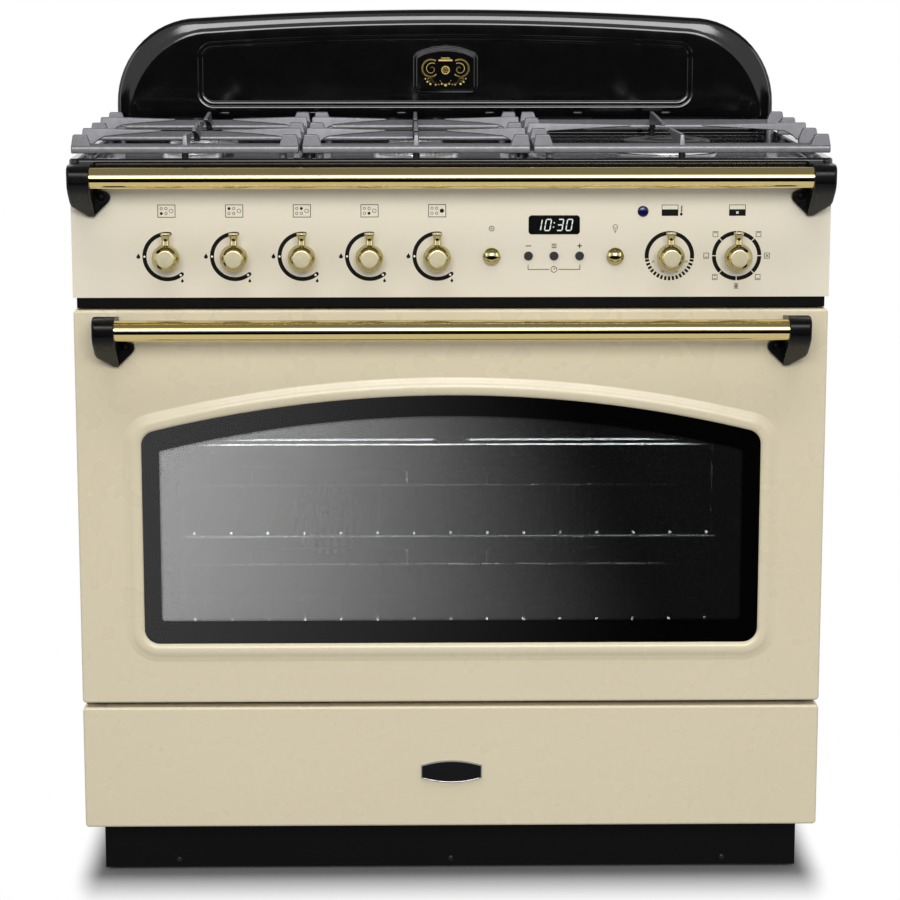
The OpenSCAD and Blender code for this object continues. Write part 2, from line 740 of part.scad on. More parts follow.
module door_outer_panel() color("#e3d6b8") at_face() difference() {
    union() {
        pan(-half_w, half_w, door_foot, door_top, skin_d);
        upright(-bead_t, 0) polygon(window_outline(bead_w));
    }
    upright(-bead_t - cut, sheet_t + cut) polygon(window_outline(0));
    both() block(hinge_x - 3, hinge_x + 9, sheet_t, skin_d + cut, door_foot - cut, door_foot + 2 * sheet_t);
}

module door_outer_glass() color("#23272b") at_face()
    upright(sheet_t, sheet_t + glass_t) polygon(window_outline(12));

module door_inner_frame() color("#2a2b2d") at_face() {
    x1 = half_w - sheet_t;
    z0 = hinge_z + 1;
    z1 = door_top - sheet_t;
    difference() {
        block(-x1, x1, inner_front, door_t, z0, z1);
        block(-x1 + sheet_t, x1 - sheet_t, inner_front - cut, door_t - inner_plate, z0 - cut, z1 - sheet_t);
        block(pane_lap - inner_glass_half, inner_glass_half - pane_lap, 0, door_t + cut,
              inner_glass_z0 + pane_lap, inner_glass_z1 - pane_lap);
        both() block(hinge_x - 10, half_w, 0, door_t + cut, z0 - cut, hinge_z + 17);
    }
}

module door_inner_glass() color("#30353a") at_face()
    block(-inner_glass_half, inner_glass_half, door_t - inner_plate - glass_t, door_t - inner_plate,
          inner_glass_z0, inner_glass_z1);

module door_handle() color("#b08d3e") at_face() tube(handle_side, handle_z);

module door_handle_brackets() color("#141414") at_face() both()
    bracket(handle_side, handle_z, bracket_up - 2);

module hinge_arms() color("#6f7275") at_face() both() difference() {
    union() {
        sideways(arm_x, arm_x + arm_t) {
            translate([hinge_in, hinge_z]) circle(arm_r);
            translate([hinge_in - arm_r, hinge_z]) square([2 * arm_r, hinge_arm_l]);
        }
        block(arm_x + arm_t - cut, half_w - 2 * sheet_t, inner_front + 1, inner_front + 15,
              hinge_z + 30, hinge_z + hinge_arm_l);
    }
    translate([0, hinge_in, hinge_z]) along_x(hinge_pin_r + running_fit, arm_x - cut, arm_x + arm_t + cut);
}

module drawer_front() color("#e3d6b8") at_face()
    pan(-half_w, half_w, plinth_h, drawer_top, drawer_fold);

module drawer_box() color("#8f9294") at_face() {
    z0 = plinth_h + drawer_up;
    difference() {
        block(-drawer_w / 2, drawer_w / 2, sheet_t, drawer_d, z0, z0 + drawer_box_h);
        block(sheet_t - drawer_w / 2, drawer_w / 2 - sheet_t, 2 * sheet_t, drawer_d - sheet_t,
              z0 + sheet_t, z0 + drawer_box_h + cut);
    }
    both() block(drawer_w / 2 - cut, runner_x + runner_w - runner_t - pass_gap, runner_y0, drawer_d,
                 runner_z0 + runner_t + seat_gap, runner_z1 - runner_t - pass_gap);
}

// A badge with bowed long edges and cut-off ends, on the middle of the drawer front.
module drawer_badge() color("#1a1a1a") at_face() translate([0, 0, plinth_h + drawer_h * 0.46]) {
    bow_r = (badge_w * badge_w / 4 + 36) / 12;
    upright(-3, 0) intersection() {
        square([badge_w, badge_h], center = true);
        translate([0, badge_h / 2 - bow_r]) circle(bow_r, $fn = 96);
        translate([0, bow_r - badge_h / 2]) circle(bow_r, $fn = 96);
    }
}

module gas_spindle(i) color("#b9a46a") at_face() translate([gas_x[i - 1], 0, knob_z])
    along_y(spindle_r, -knob_gap - spindle_grip, spindle_end);
module gas_spindle_1() gas_spindle(1);
module gas_spindle_2() gas_spindle(2);
module gas_spindle_3() gas_spindle(3);
module gas_spindle_4() gas_spindle(4);
module gas_spindle_5() gas_spindle(5);

// A knob: a ball with a flat front, a short neck and an upright pointer.
module knob_body() {
    centre = -knob_gap - knob_d / 2 + 1.5;
    translate([0, centre, 0]) {
        intersection() {
            sphere(r = knob_d / 2, $fn = 64);
            translate([-knob_d, 3.5 - knob_d / 2, -knob_d]) cube([2 * knob_d, knob_d - 5, 2 * knob_d]);
        }
        cylinder(r1 = 6.5, r2 = 4.2, h = knob_d / 2 + 5);
        translate([0, 0, knob_d / 2 + 4]) cylinder(r1 = 4.2, r2 = 6, h = pointer_r - knob_d / 2 - 6.5);
        translate([0, 0, pointer_r - 2.6]) cylinder(r = 6, h = 2.6);
    }
    along_y(11, -knob_gap - 8, -knob_gap);
}
module gas_knob(i) color("#b89a4c") at_face() translate([gas_x[i - 1], 0, knob_z]) difference() {
    knob_body();
    along_y(spindle_r + running_fit, -knob_gap - spindle_grip - knob_push - 1, -knob_gap + cut);
}
module gas_knob_1() gas_knob(1);
module gas_knob_2() gas_knob(2);
module gas_knob_3() gas_knob(3);
module gas_knob_4() gas_knob(4);
module gas_knob_5() gas_knob(5);

module oven_knob(x) color("#b89a4c") at_face() translate([x, 0, knob_z]) {
    knob_body();
    along_y(shaft_r, -knob_gap - cut, shaft_end);
}
module temperature_knob() oven_knob(temperature_x);
module function_knob() oven_knob(function_x);

module brass_button(x) color("#b89a4c") at_face() translate([x, 0, knob_z]) {
    back = -button_travel - 0.5;
    bulge = 4.5;
    brim = 1.2;
    dome_foot = button_d / 2 - 0.4;
    dome_r = (dome_foot * dome_foot + bulge * bulge) / (2 * bulge);
    along_y(button_d / 2, back - brim, back);
    intersection() {
        translate([0, back - brim - bulge + dome_r, 0]) sphere(r = dome_r, $fn = 64);
        along_y(button_d, back - 2 * bulge, back - brim + 0.2);
    }
    along_y(plunger_r, back - cut, plunger_end);
}
module ignition_button() brass_button(ignition_x);
module light_button() brass_button(light_x);

module clock_button(i) color("#101010") at_face() translate([clock_x + i * clock_pitch, 0, knob_z]) {
    along_y(clock_button_d / 2, -clock_cap_out, sheet_t - clock_travel - seat_gap);
    along_y(clock_pin_r, -cut, clock_pin_end);
}
module minus_button() clock_button(-1);
module mode_button() clock_button(0);
module plus_button() clock_button(1);

// The side view of a finger: a square tab on the frame, then an arm that thins to its tip.
function finger_profile(l) = [
    [0, bar_foot], [0, support_top], [tab_w, support_top], [tab_w + 5, support_top - 4], [l, support_top - 4],
    [l, support_top - 7], [l * 0.55, support_top - 10], [tab_w + 13, support_top - 17], [tab_w + 7, bar_foot]
];
// The side view of a fin: a post on the frame, then an arm that falls to its tip.
function fin_profile(l) = [
    [0, bar_foot], [0, support_top], [tab_w * 0.7, support_top], [l, support_top - 4], [l, support_top - 8],
    [l * 0.5, support_top - 13], [tab_w * 0.7, bar_foot]
];
tab_profile = [
    [0, bar_foot], [0, support_top - 1], [1, support_top], [tab_w - 2, support_top], [tab_w + 3, bar_foot]
];

// Draws a side view on both side bars of a support, at depth y.
module side_plates(x0, w, y, thick, profile) for (s = [0, 1]) translate([x0 + s * w, 0, 0]) scale_x(1 - 2 * s)
    upright(y - thick / 2, y + thick / 2) polygon(profile);
// Draws a side view that runs to the rear from depth y, or to the front where s is -1.
module fin(x, y, s, profile) translate([0, y, 0]) mirror([0, s < 0 ? 1 : 0, 0])
    sideways(x - finger_t / 2, x + finger_t / 2) polygon(profile);

module support_frame(x0, w, tabs) {
    x1 = x0 + w;
    y0 = support_front;
    y1 = support_front + support_d;
    for (y = [y0, y1 - bar_t]) block(x0, x1, y, y + bar_t, bar_foot, bar_top);
    for (x = [x0, x1 - bar_t]) block(x, x + bar_t, y0, y1, bar_foot, bar_top);
    for (y = tabs) side_plates(x0, w, y, finger_t + 3, tab_profile);
    for (s = [0, 1], y = [y0 + leg_in, y1 - leg_in]) translate([x0 + s * w, y, 0]) scale_x(1 - 2 * s) {
        block(0, leg_in + 5, -5, 5, bar_foot, bar_foot + 5);
        translate([leg_in, 0, floor_z]) cylinder(r = 5, h = bar_foot - floor_z + 2);
    }
}

module twin_support(x0, w) color("#4b4c50") at_face() {
    x = x0 + w / 2;
    y1 = support_front + support_d;
    support_frame(x0, w, [support_front + 6, mid_bar, y1 - 6]);
    block(x0, x0 + w, mid_bar - bar_t / 2, mid_bar + bar_t / 2, bar_foot, bar_top);
    for (y = [front_burner, rear_burner]) side_plates(x0, w, y, finger_t, finger_profile(w * 0.42));
    fin(x, support_front + 1, 1, fin_profile(front_burner - support_front - 30));
    fin(x, mid_bar - bar_t / 2 + 1, -1, fin_profile(mid_bar - front_burner - 30));
    fin(x, mid_bar + bar_t / 2 - 1, 1, fin_profile(rear_burner - mid_bar - 30));
    fin(x, y1 - 1, -1, fin_profile(y1 - rear_burner - 30));
}
module pan_support_left() twin_support(left_x0, left_support_w);
module pan_support_middle() twin_support(middle_x0, middle_support_w);

module pan_support_right() color("#4b4c50") at_face() {
    y1 = support_front + support_d;
    support_frame(right_x0, right_support_w,
                  [support_front + 6, wok_burner - wok_tab, wok_burner + wok_tab, y1 - 6]);
    side_plates(right_x0, right_support_w, wok_burner, finger_t,
                finger_profile(right_support_w / 2 - wok_gap));
    fin(right_x, support_front + 1, 1, fin_profile(wok_burner - support_front - wok_gap));
    fin(right_x, y1 - 1, -1, fin_profile(y1 - wok_burner - wok_gap));
}

module impeller(s) color("#9da0a3") at_face() translate([s * fan_x, 0, fan_z]) {
    wheel = baffle_d + 6;
    along_y(9, wheel, wheel + 14);
    along_y(fan_r - 2, wheel + 12, wheel + 13.2);
    for (a = [0:45:315]) rotate([0, a, 0]) block(14, fan_r - 3, wheel, wheel + 12 + cut / 2, -0.6, 0.6);
    along_y(fan_shaft_r, wheel + 13, cavity_back + sheet_t + fan_shaft_in);
}
module fan_impeller_left() impeller(-1);
module fan_impeller_right() impeller(1);

side_panels();
back_panel();
base_panel();
levelling_feet();
plinth();
vent_trim();
hob_tray();
burner_bases();
burner_caps();
splashback();
control_panel();
handrail();
handrail_brackets();
clock_display();
indicator_lamp();
gas_manifold();
gas_taps();
oven_controls();
oven_liner();
fan_baffle();
fan_motors();
oven_elements();
shelf_ladders();
oven_shelves();
oven_lamp();
hinge_brackets();
drawer_runners();
door_seal();
door_outer_panel();
door_outer_glass();
door_inner_frame();
door_inner_glass();
door_handle();
door_handle_brackets();
hinge_arms();
drawer_front();
drawer_box();
drawer_badge();
gas_spindle_1();
gas_spindle_2();
gas_spindle_3();
gas_spindle_4();
gas_spindle_5();
gas_knob_1();
gas_knob_2();
gas_knob_3();
gas_knob_4();
gas_knob_5();
temperature_knob();
function_knob();
ignition_button();
light_button();
minus_button();
mode_button();
plus_button();
pan_support_left();
pan_support_middle();
pan_support_right();
fan_impeller_left();
fan_impeller_right();
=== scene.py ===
# Dual fuel range cooker: cream enamel front, brass rails and knobs, black enamel hob and splashback.
# Lengths are in metres in the frame of the solids; mm() turns a size in millimetres into metres.
import math

import bmesh
import bpy
from mathutils import Matrix, Vector


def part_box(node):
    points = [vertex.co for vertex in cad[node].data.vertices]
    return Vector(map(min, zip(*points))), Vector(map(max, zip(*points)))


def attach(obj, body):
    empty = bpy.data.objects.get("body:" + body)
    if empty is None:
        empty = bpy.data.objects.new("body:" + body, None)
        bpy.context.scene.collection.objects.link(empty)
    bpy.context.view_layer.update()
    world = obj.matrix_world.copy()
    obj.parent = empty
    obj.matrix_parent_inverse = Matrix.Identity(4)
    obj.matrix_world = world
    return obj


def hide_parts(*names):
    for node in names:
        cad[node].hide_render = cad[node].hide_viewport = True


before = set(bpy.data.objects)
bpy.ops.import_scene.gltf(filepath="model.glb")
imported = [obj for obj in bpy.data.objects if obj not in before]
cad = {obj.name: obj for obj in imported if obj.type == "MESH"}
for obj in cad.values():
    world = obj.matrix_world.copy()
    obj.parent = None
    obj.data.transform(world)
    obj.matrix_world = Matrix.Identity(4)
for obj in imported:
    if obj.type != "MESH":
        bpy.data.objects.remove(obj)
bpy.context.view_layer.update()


# The studio: a grey floor that fades to white under a white sky, a soft box overhead and one at each side.
# Black cards on the floor and low behind the camera, and a grey one overhead, show only in reflections.
# They draw the dark lines along polished brass and keep the black enamel black, as studio cards do.
def mm(value):
    return value / 1000


def srgb(code):
    """A colour written as hex digits, turned to the linear values that the nodes take."""
    parts = [int(code[i:i + 2], 16) / 255 for i in (0, 2, 4)]
    return [c / 12.92 if c <= 0.04045 else ((c + 0.055) / 1.055) ** 2.4 for c in parts] + [1.0]


def add(tree, kind, settings=None, links=None, **values):
    """Adds a node. Settings are its properties, values its inputs by name, and links feeds an input from an output."""
    made = tree.nodes.new(kind)
    for key, value in (settings or {}).items():
        setattr(made, key, value)
    for key, value in values.items():
        made.inputs[key.replace("_", " ")].default_value = value
    for key, source in (links or {}).items():
        tree.links.new(source, made.inputs[key])
    return made


def material(name, **values):
    """A Principled material with its constant values set on the shader's own sockets."""
    made = bpy.data.materials.new(name)
    made.use_nodes = True
    shader = made.node_tree.nodes["Principled BSDF"]
    for key, value in values.items():
        shader.inputs[key.replace("_", " ")].default_value = value
    return made, made.node_tree, shader


scene = bpy.context.scene
scene.view_settings.view_transform = "Standard"
face_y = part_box("drawer_front")[0].y

camera_data = bpy.data.cameras.new("camera")
camera = bpy.data.objects.new("camera", camera_data)
scene.collection.objects.link(camera)
scene.camera = camera
camera_data.lens = 112.5
camera.location = (mm(-52), face_y - mm(3325), mm(1157))
camera.rotation_euler = (math.pi / 2 - 0.1823, 0, -0.0151)

world = bpy.data.worlds.new("studio")
scene.world = world
world.use_nodes = True
sky = world.node_tree
sky.nodes.clear()
rays = add(sky, "ShaderNodeLightPath")
seen = add(sky, "ShaderNodeMath", {"operation": "MAXIMUM"},
           {0: rays.outputs["Is Camera Ray"], 1: rays.outputs["Is Transmission Ray"]})
shown = add(sky, "ShaderNodeMath", {"operation": "MAXIMUM"},
            {0: seen.outputs[0], 1: rays.outputs["Is Glossy Ray"]})
level = add(sky, "ShaderNodeMapRange", None, {"Value": shown.outputs[0]}, To_Min=0.37, To_Max=1.0)
backdrop = add(sky, "ShaderNodeBackground", None, {"Strength": level.outputs["Result"]}, Color=srgb("FFFFFF"))
add(sky, "ShaderNodeOutputWorld", None, {"Surface": backdrop.outputs[0]})


def flat_card(name, corners, mat):
    """A flat stage piece through four corners."""
    mesh = bpy.data.meshes.new(name)
    mesh.from_pydata(corners, [], [(0, 1, 2, 3)])
    made = bpy.data.objects.new(name, mesh)
    scene.collection.objects.link(made)
    made.data.materials.append(mat)
    return made


# The floor is grey paint. For the camera it brightens to plain white a hand's breadth away from the
# plinth, so that it runs into the sky with no edge, and close to the plinth it keeps the contact shadow.
# Reflections show it a good deal paler than it is, as they would a lit studio floor.
floor_mat, tree, shader = material("white studio floor", Roughness=0.9, Specular_IOR_Level=0.1)
shader.inputs["Base Color"].default_value = srgb("8E8E8E")
place = add(tree, "ShaderNodeTexCoord")
split = add(tree, "ShaderNodeSeparateXYZ", None, {0: place.outputs["Object"]})
aside = add(tree, "ShaderNodeMath", {"operation": "ABSOLUTE"}, {0: split.outputs["X"]})
past = add(tree, "ShaderNodeMapRange", None, {"Value": aside.outputs[0]}, From_Min=0.432, From_Max=1.432,
           To_Max=3.6)
before = add(tree, "ShaderNodeMapRange", None, {"Value": split.outputs["Y"]}, From_Min=-0.2, From_Max=-1.2,
             To_Max=1.0)
behind = add(tree, "ShaderNodeMapRange", None, {"Value": split.outputs["Y"]}, From_Min=0.32, From_Max=1.32,
             To_Max=1.0)
along = add(tree, "ShaderNodeMath", {"operation": "ADD"},
            {0: before.outputs["Result"], 1: behind.outputs["Result"]})
gap = add(tree, "ShaderNodeCombineXYZ", None, {"X": past.outputs["Result"], "Y": along.outputs[0]})
reach = add(tree, "ShaderNodeVectorMath", {"operation": "LENGTH"}, {0: gap.outputs[0]})
away = add(tree, "ShaderNodeMapRange", {"interpolation_type": "SMOOTHSTEP"},
           {"Value": reach.outputs["Value"]},
           From_Min=0.0, From_Max=0.15)
rays = add(tree, "ShaderNodeLightPath")
fade = add(tree, "ShaderNodeMath", {"operation": "MULTIPLY"},
           {0: away.outputs["Result"], 1: rays.outputs["Is Camera Ray"]})
fade = add(tree, "ShaderNodeMath", {"operation": "MULTIPLY_ADD"},
           {0: rays.outputs["Is Glossy Ray"], 2: fade.outputs[0]})
fade.inputs[1].default_value = 0.55
white = add(tree, "ShaderNodeEmission", Color=srgb("FFFFFF"))
mix = add(tree, "ShaderNodeMixShader", None, {0: fade.outputs[0], 1: shader.outputs[0], 2: white.outputs[0]})
tree.links.new(mix.outputs[0], tree.nodes["Material Output"].inputs["Surface"])
flat_card("floor", [(-6, -6, 0), (6, -6, 0), (6, 6, 0), (-6, 6, 0)], floor_mat)


def card_material(name, strength):
    made, tree, shader = material(name)
    glow = add(tree, "ShaderNodeEmission", Color=srgb("FFFFFF"), Strength=strength)
    tree.links.new(glow.outputs[0], tree.nodes["Material Output"].inputs["Surface"])
    return made, tree, glow


flag_mat, tree, glow = card_material("black studio flag", 0.05)
flag = flat_card("flag", [(-5, -5.4, 0.004), (5, -5.4, 0.004), (5, -5.4, 1.1), (-5, -5.4, 1.1)], flag_mat)
ceiling_mat, tree, glow = card_material("grey studio ceiling", 0.22)
ceiling = flat_card("ceiling", [(-4, -3.2, 3.3), (4, -3.2, 3.3), (4, 4, 3.3), (-4, 4, 3.3)], ceiling_mat)

# The floor card lights only the oven's glass, from bright at the left to black at the right, and so
# gives the pane the sheen that runs across it. Everything else sees this card as black.
card_mat, tree, glow = card_material("graded light card", 1.0)
place = add(tree, "ShaderNodeTexCoord")
split = add(tree, "ShaderNodeSeparateXYZ", None, {0: place.outputs["Object"]})
graded = add(tree, "ShaderNodeMapRange", {"interpolation_type": "SMOOTHSTEP"}, {"Value": split.outputs["X"]},
             From_Min=-0.8, From_Max=0.4, To_Min=1.4, To_Max=0.02)
tree.links.new(graded.outputs["Result"], glow.inputs["Strength"])
card = flat_card("card", [(-5, -5.4, 0.003), (5, -5.4, 0.003), (5, -1.35, 0.003), (-5, -1.35, 0.003)],
                 card_mat)
lit_glass = bpy.data.collections.new("lit glass")
card.light_linking.receiver_collection = lit_glass
for piece in (flag, ceiling, card):
    piece.visible_camera = False
    piece.visible_diffuse = False
    piece.visible_shadow = False


def soft_box(name, place, aim, size, watts):
    """A rectangular studio lamp that points at aim."""
    data = bpy.data.lights.new(name, "AREA")
    data.shape = "RECTANGLE"
    data.size, data.size_y = size
    data.energy = watts
    lamp = bpy.data.objects.new(name, data)
    scene.collection.objects.link(lamp)
    lamp.location = place
    lamp.rotation_euler = (Vector(aim) - Vector(place)).to_track_quat("-Z", "Y").to_euler()
    return lamp


soft_box("front box", (0.1, -4.6, 2.3), (0, -0.1, 0.75), (2.8, 1.2), 115)
top = soft_box("top box", (0.1, -1.0, 2.9), (0, 0, 0.8), (2.4, 1.2), 39)
top.visible_glossy = False
soft_box("left box", (-2.8, -1.9, 1.6), (0, 0, 0.6), (0.9, 1.8), 8)
soft_box("right box", (2.8, -1.9, 1.6), (0, 0, 0.6), (0.7, 1.6), 7)


# The body: galvanised sheet steel at the back and base, with black powder paint on the sides,
# the plinth and the vent strip. The sheet is folded, so every outside edge has a small radius.
def applied(mesh, *modifiers):
    """The mesh with modifiers applied, each given as its kind and its settings."""
    helper = bpy.data.objects.new("helper", mesh)
    scene.collection.objects.link(helper)
    for kind, settings in modifiers:
        made = helper.modifiers.new(kind, kind)
        for key, value in settings.items():
            setattr(made, key, value)
    graph = bpy.context.evaluated_depsgraph_get()
    result = bpy.data.meshes.new_from_object(helper.evaluated_get(graph))
    bpy.data.objects.remove(helper)
    return result


def place_mesh(name, mesh, mats, body, *nodes, angle=38):
    """Links a finished mesh as a piece that rides on a body and stands for the solids named."""
    mesh.shade_smooth()
    mesh.set_sharp_from_angle(angle=math.radians(angle))
    mesh = applied(mesh, ("WEIGHTED_NORMAL", {"keep_sharp": True, "weight": 80}))
    made = bpy.data.objects.new(name, mesh)
    scene.collection.objects.link(made)
    mesh.materials.clear()
    for mat in mats if isinstance(mats, (list, tuple)) else [mats]:
        mesh.materials.append(mat)
    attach(made, body)
    if nodes:
        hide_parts(*nodes)
    return made


def clean_copy(node):
    """A copy of a solid's mesh with its doubles merged and its flat faces joined."""
    work = bmesh.new()
    work.from_mesh(cad[node].data)
    bmesh.ops.remove_doubles(work, verts=work.verts, dist=mm(0.002))
    bmesh.ops.dissolve_limit(work, angle_limit=math.radians(0.4), verts=work.verts, edges=work.edges)
    return work


def mesh_of(work, name):
    mesh = bpy.data.meshes.new(name)
    work.to_mesh(mesh)
    work.free()
    return mesh


def rounded_copy(node, name, mat, body, radius, segments=2, limit=30):
    """A copy of a solid with rounded edges, which stands for that solid."""
    bevel = {"width": mm(radius), "segments": segments, "limit_method": "ANGLE",
             "angle_limit": math.radians(limit), "use_clamp_overlap": True}
    return place_mesh(name, applied(mesh_of(clean_copy(node), name), ("BEVEL", bevel)), mat, body, node)


def paint(mat, *nodes):
    """Gives solids that keep their own shape their material."""
    for node in nodes:
        mesh = cad[node].data
        if not mesh.materials:
            mesh.materials.append(mat)
        for i in range(len(mesh.materials)):
            mesh.materials[i] = mat


def grain(tree, size, detail=2.0, stretch=(1, 1, 1)):
    """Noise whose features are about size millimetres across, longer along the axes with a small stretch."""
    place = add(tree, "ShaderNodeTexCoord")
    turned = add(tree, "ShaderNodeMapping", None, {"Vector": place.outputs["Object"]}, Scale=stretch)
    return add(tree, "ShaderNodeTexNoise", None, {"Vector": turned.outputs[0]}, Scale=1 / mm(size),
               Detail=detail)


def uneven(tree, shader, noise, socket, low, high):
    """Lets noise move a value of the shader between low and high."""
    spread = add(tree, "ShaderNodeMapRange", None, {"Value": noise.outputs[0]}, From_Min=0.3, From_Max=0.7,
                 To_Min=low, To_Max=high)
    tree.links.new(spread.outputs["Result"], shader.inputs[socket])


def relief(tree, shader, noise, depth, strength=1.0):
    """Lets noise raise the surface by up to depth millimetres."""
    bump = add(tree, "ShaderNodeBump", None, {"Height": noise.outputs[0]}, Distance=mm(depth),
               Strength=strength)
    tree.links.new(bump.outputs[0], shader.inputs["Normal"])


def tinted(tree, shader, noise, low, high):
    """Lets noise move the colour between two hex colours."""
    mix = add(tree, "ShaderNodeMix", {"data_type": "RGBA"})
    mix.inputs[6].default_value = srgb(low)
    mix.inputs[7].default_value = srgb(high)
    tree.links.new(noise.outputs[0], mix.inputs[0])
    tree.links.new(mix.outputs[2], shader.inputs["Base Color"])


# Black polyester powder paint, baked on steel: satin, with the fine orange peel of powder that has flowed.
# Painted shade: its black is darker than the paint's own, for the shade that falls on the plinth under the drawer.
powder_black_painted_shade, tree, shader = material("black powder paint", IOR=1.5, Specular_IOR_Level=0.1)
tinted(tree, shader, grain(tree, 60), "020202", "040404")
uneven(tree, shader, grain(tree, 90, 1.0), "Roughness", 0.4, 0.46)
relief(tree, shader, grain(tree, 2.2, 1.0), 0.012, 0.2)

# Hot-dip galvanised steel: bright zinc crystals 12 mm across, each with its own shade.
zinc, tree, shader = material("galvanised steel", Metallic=0.95)
place = add(tree, "ShaderNodeTexCoord")
spangle = add(tree, "ShaderNodeTexVoronoi", None, {"Vector": place.outputs["Object"]}, Scale=1 / mm(12))
ramp = add(tree, "ShaderNodeValToRGB", None, {0: spangle.outputs["Color"]})
ramp.color_ramp.elements[0].color = srgb("8E9396")
ramp.color_ramp.elements[1].color = srgb("B4B9BC")
tree.links.new(ramp.outputs[0], shader.inputs["Base Color"])
uneven(tree, shader, grain(tree, 9), "Roughness", 0.32, 0.48)

# Moulded black nylon for the feet and other small plastic parts: matt, with a spark-eroded grain of 0.5 mm.
nylon, tree, shader = material("moulded black nylon")
tinted(tree, shader, grain(tree, 15), "121212", "1B1B1C")
uneven(tree, shader, grain(tree, 6), "Roughness", 0.42, 0.55)
relief(tree, shader, grain(tree, 0.5), 0.02, 0.3)

rounded_copy("side_panels", "side_panels_painted", powder_black_painted_shade, "chassis", 1.0)
rounded_copy("plinth", "plinth_painted", powder_black_painted_shade, "chassis", 1.0)
rounded_copy("vent_trim", "vent_strip", powder_black_painted_shade, "chassis", 1.2)
rounded_copy("levelling_feet", "levelling_feet_moulded", nylon, "chassis", 1.0)
paint(zinc, "back_panel", "base_panel")


# Three small screws along the foot of the plinth hold its clip-on front.
# They are round-headed, of black zinc-plated steel, set 340 mm apart.
def skin(rings, first_cap=False, last_cap=False, shut=True):
    """A mesh through rings of equally many points; its ends are capped where asked."""
    work = bmesh.new()
    rows = [[work.verts.new(point) for point in ring] for ring in rings]
    for a, b in zip(rows, rows[1:]):
        for i in range(len(a) if shut else len(a) - 1):
            j = (i + 1) % len(a)
            work.faces.new((a[i], a[j], b[j], b[i]))
    if first_cap:
        work.faces.new(rows[0][::-1])
    if last_cap:
        work.faces.new(rows[-1])
    bmesh.ops.remove_doubles(work, verts=work.verts, dist=mm(0.0005))
    bmesh.ops.recalc_face_normals(work, faces=work.faces)
    return work


def at(x, depth, z):
    """A place given in millimetres: x, the depth behind the face of the door, and the height."""
    return Vector((mm(x), face_y + mm(depth), mm(z)))


def turned(profile, middle, along="y", sides=64):
    """A mesh turned about an axis: the profile lists the radius and the position along the axis, in millimetres."""
    rings = []
    for radius, place in profile:
        ring = []
        for i in range(sides):
            angle = 2 * math.pi * i / sides
            a, b = max(radius, 0.0001) * math.cos(angle), max(radius, 0.0001) * math.sin(angle)
            ring.append(middle + Vector({"x": (place, a, b), "y": (b, place, a),
                                         "z": (a, b, place)}[along]) / 1000)
        rings.append(ring)
    return skin(rings)


def joined(works):
    """Several meshes in one."""
    whole = bmesh.new()
    for work in works:
        mesh = mesh_of(work, "part")
        whole.from_mesh(mesh)
        bpy.data.meshes.remove(mesh)
    return whole


def repeated(mesh, count, mat, step=(0, 0, 0), turn=0.0, axis=(0, 1, 0), centre=(0, 0, 0)):
    """Copies of a mesh, each moved by one more step and turned by one more turn about an axis through a centre."""
    tree = bpy.data.node_groups.new("repeat a part", "GeometryNodeTree")
    sockets = {}
    for name, kind in (("Geometry", "NodeSocketGeometry"), ("Count", "NodeSocketInt"),
                       ("Step", "NodeSocketVector"),
                       ("Turn", "NodeSocketFloat"), ("Axis", "NodeSocketVector"),
                       ("Centre", "NodeSocketVector"),
                       ("Material", "NodeSocketMaterial")):
        sockets[name] = tree.interface.new_socket(name, in_out="INPUT", socket_type=kind).identifier
    tree.interface.new_socket("Geometry", in_out="OUTPUT", socket_type="NodeSocketGeometry")
    given = add(tree, "NodeGroupInput").outputs
    number = add(tree, "GeometryNodeInputIndex").outputs[0]
    line = add(tree, "GeometryNodeMeshLine", {"mode": "OFFSET"}, {"Count": given["Count"]}, Offset=(0, 0, 0))
    copies = add(tree, "GeometryNodeInstanceOnPoints", None,
                 {"Points": line.outputs[0], "Instance": given["Geometry"]})
    far = add(tree, "ShaderNodeVectorMath", {"operation": "SCALE"}, {0: given["Step"], "Scale": number})
    moved = add(tree, "GeometryNodeTranslateInstances", None,
                {"Instances": copies.outputs[0], "Translation": far.outputs[0]}, Local_Space=False)
    angle = add(tree, "ShaderNodeMath", {"operation": "MULTIPLY"}, {0: given["Turn"], 1: number})
    spin = add(tree, "FunctionNodeAxisAngleToRotation", None,
               {"Axis": given["Axis"], "Angle": angle.outputs[0]})
    spun = add(tree, "GeometryNodeRotateInstances", None,
               {"Instances": moved.outputs[0], "Rotation": spin.outputs[0], "Pivot Point": given["Centre"]},
               Local_Space=False)
    real = add(tree, "GeometryNodeRealizeInstances", None, {0: spun.outputs[0]})
    dyed = add(tree, "GeometryNodeSetMaterial", None,
               {"Geometry": real.outputs[0], "Material": given["Material"]})
    add(tree, "NodeGroupOutput", None, {0: dyed.outputs[0]})
    helper = bpy.data.objects.new("helper", mesh)
    scene.collection.objects.link(helper)
    made = helper.modifiers.new("repeat", "NODES")
    made.node_group = tree
    for name, value in (("Count", count), ("Step", step), ("Turn", turn), ("Axis", axis), ("Centre", centre),
                        ("Material", mat)):
        made[sockets[name]] = value
    graph = bpy.context.evaluated_depsgraph_get()
    result = bpy.data.meshes.new_from_object(helper.evaluated_get(graph))
    bpy.data.objects.remove(helper)
    return result


screw_black, tree, shader = material("black zinc-plated steel", Metallic=0.8)
tinted(tree, shader, grain(tree, 3), "1A1B1D", "26272A")
uneven(tree, shader, grain(tree, 1), "Roughness", 0.3, 0.45)
plinth_front = (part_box("plinth")[0].y - face_y) * 1000
screw = turned([(0, -1.3), (1.8, -1.1), (3.2, -0.5), (3.4, 0.0), (3.4, 0.3)], at(-340, plinth_front, 14),
               sides=20)
place_mesh("plinth_screws", repeated(mesh_of(screw, "screw"), 3, screw_black, step=(mm(340), 0, 0)),
           screw_black, "chassis")


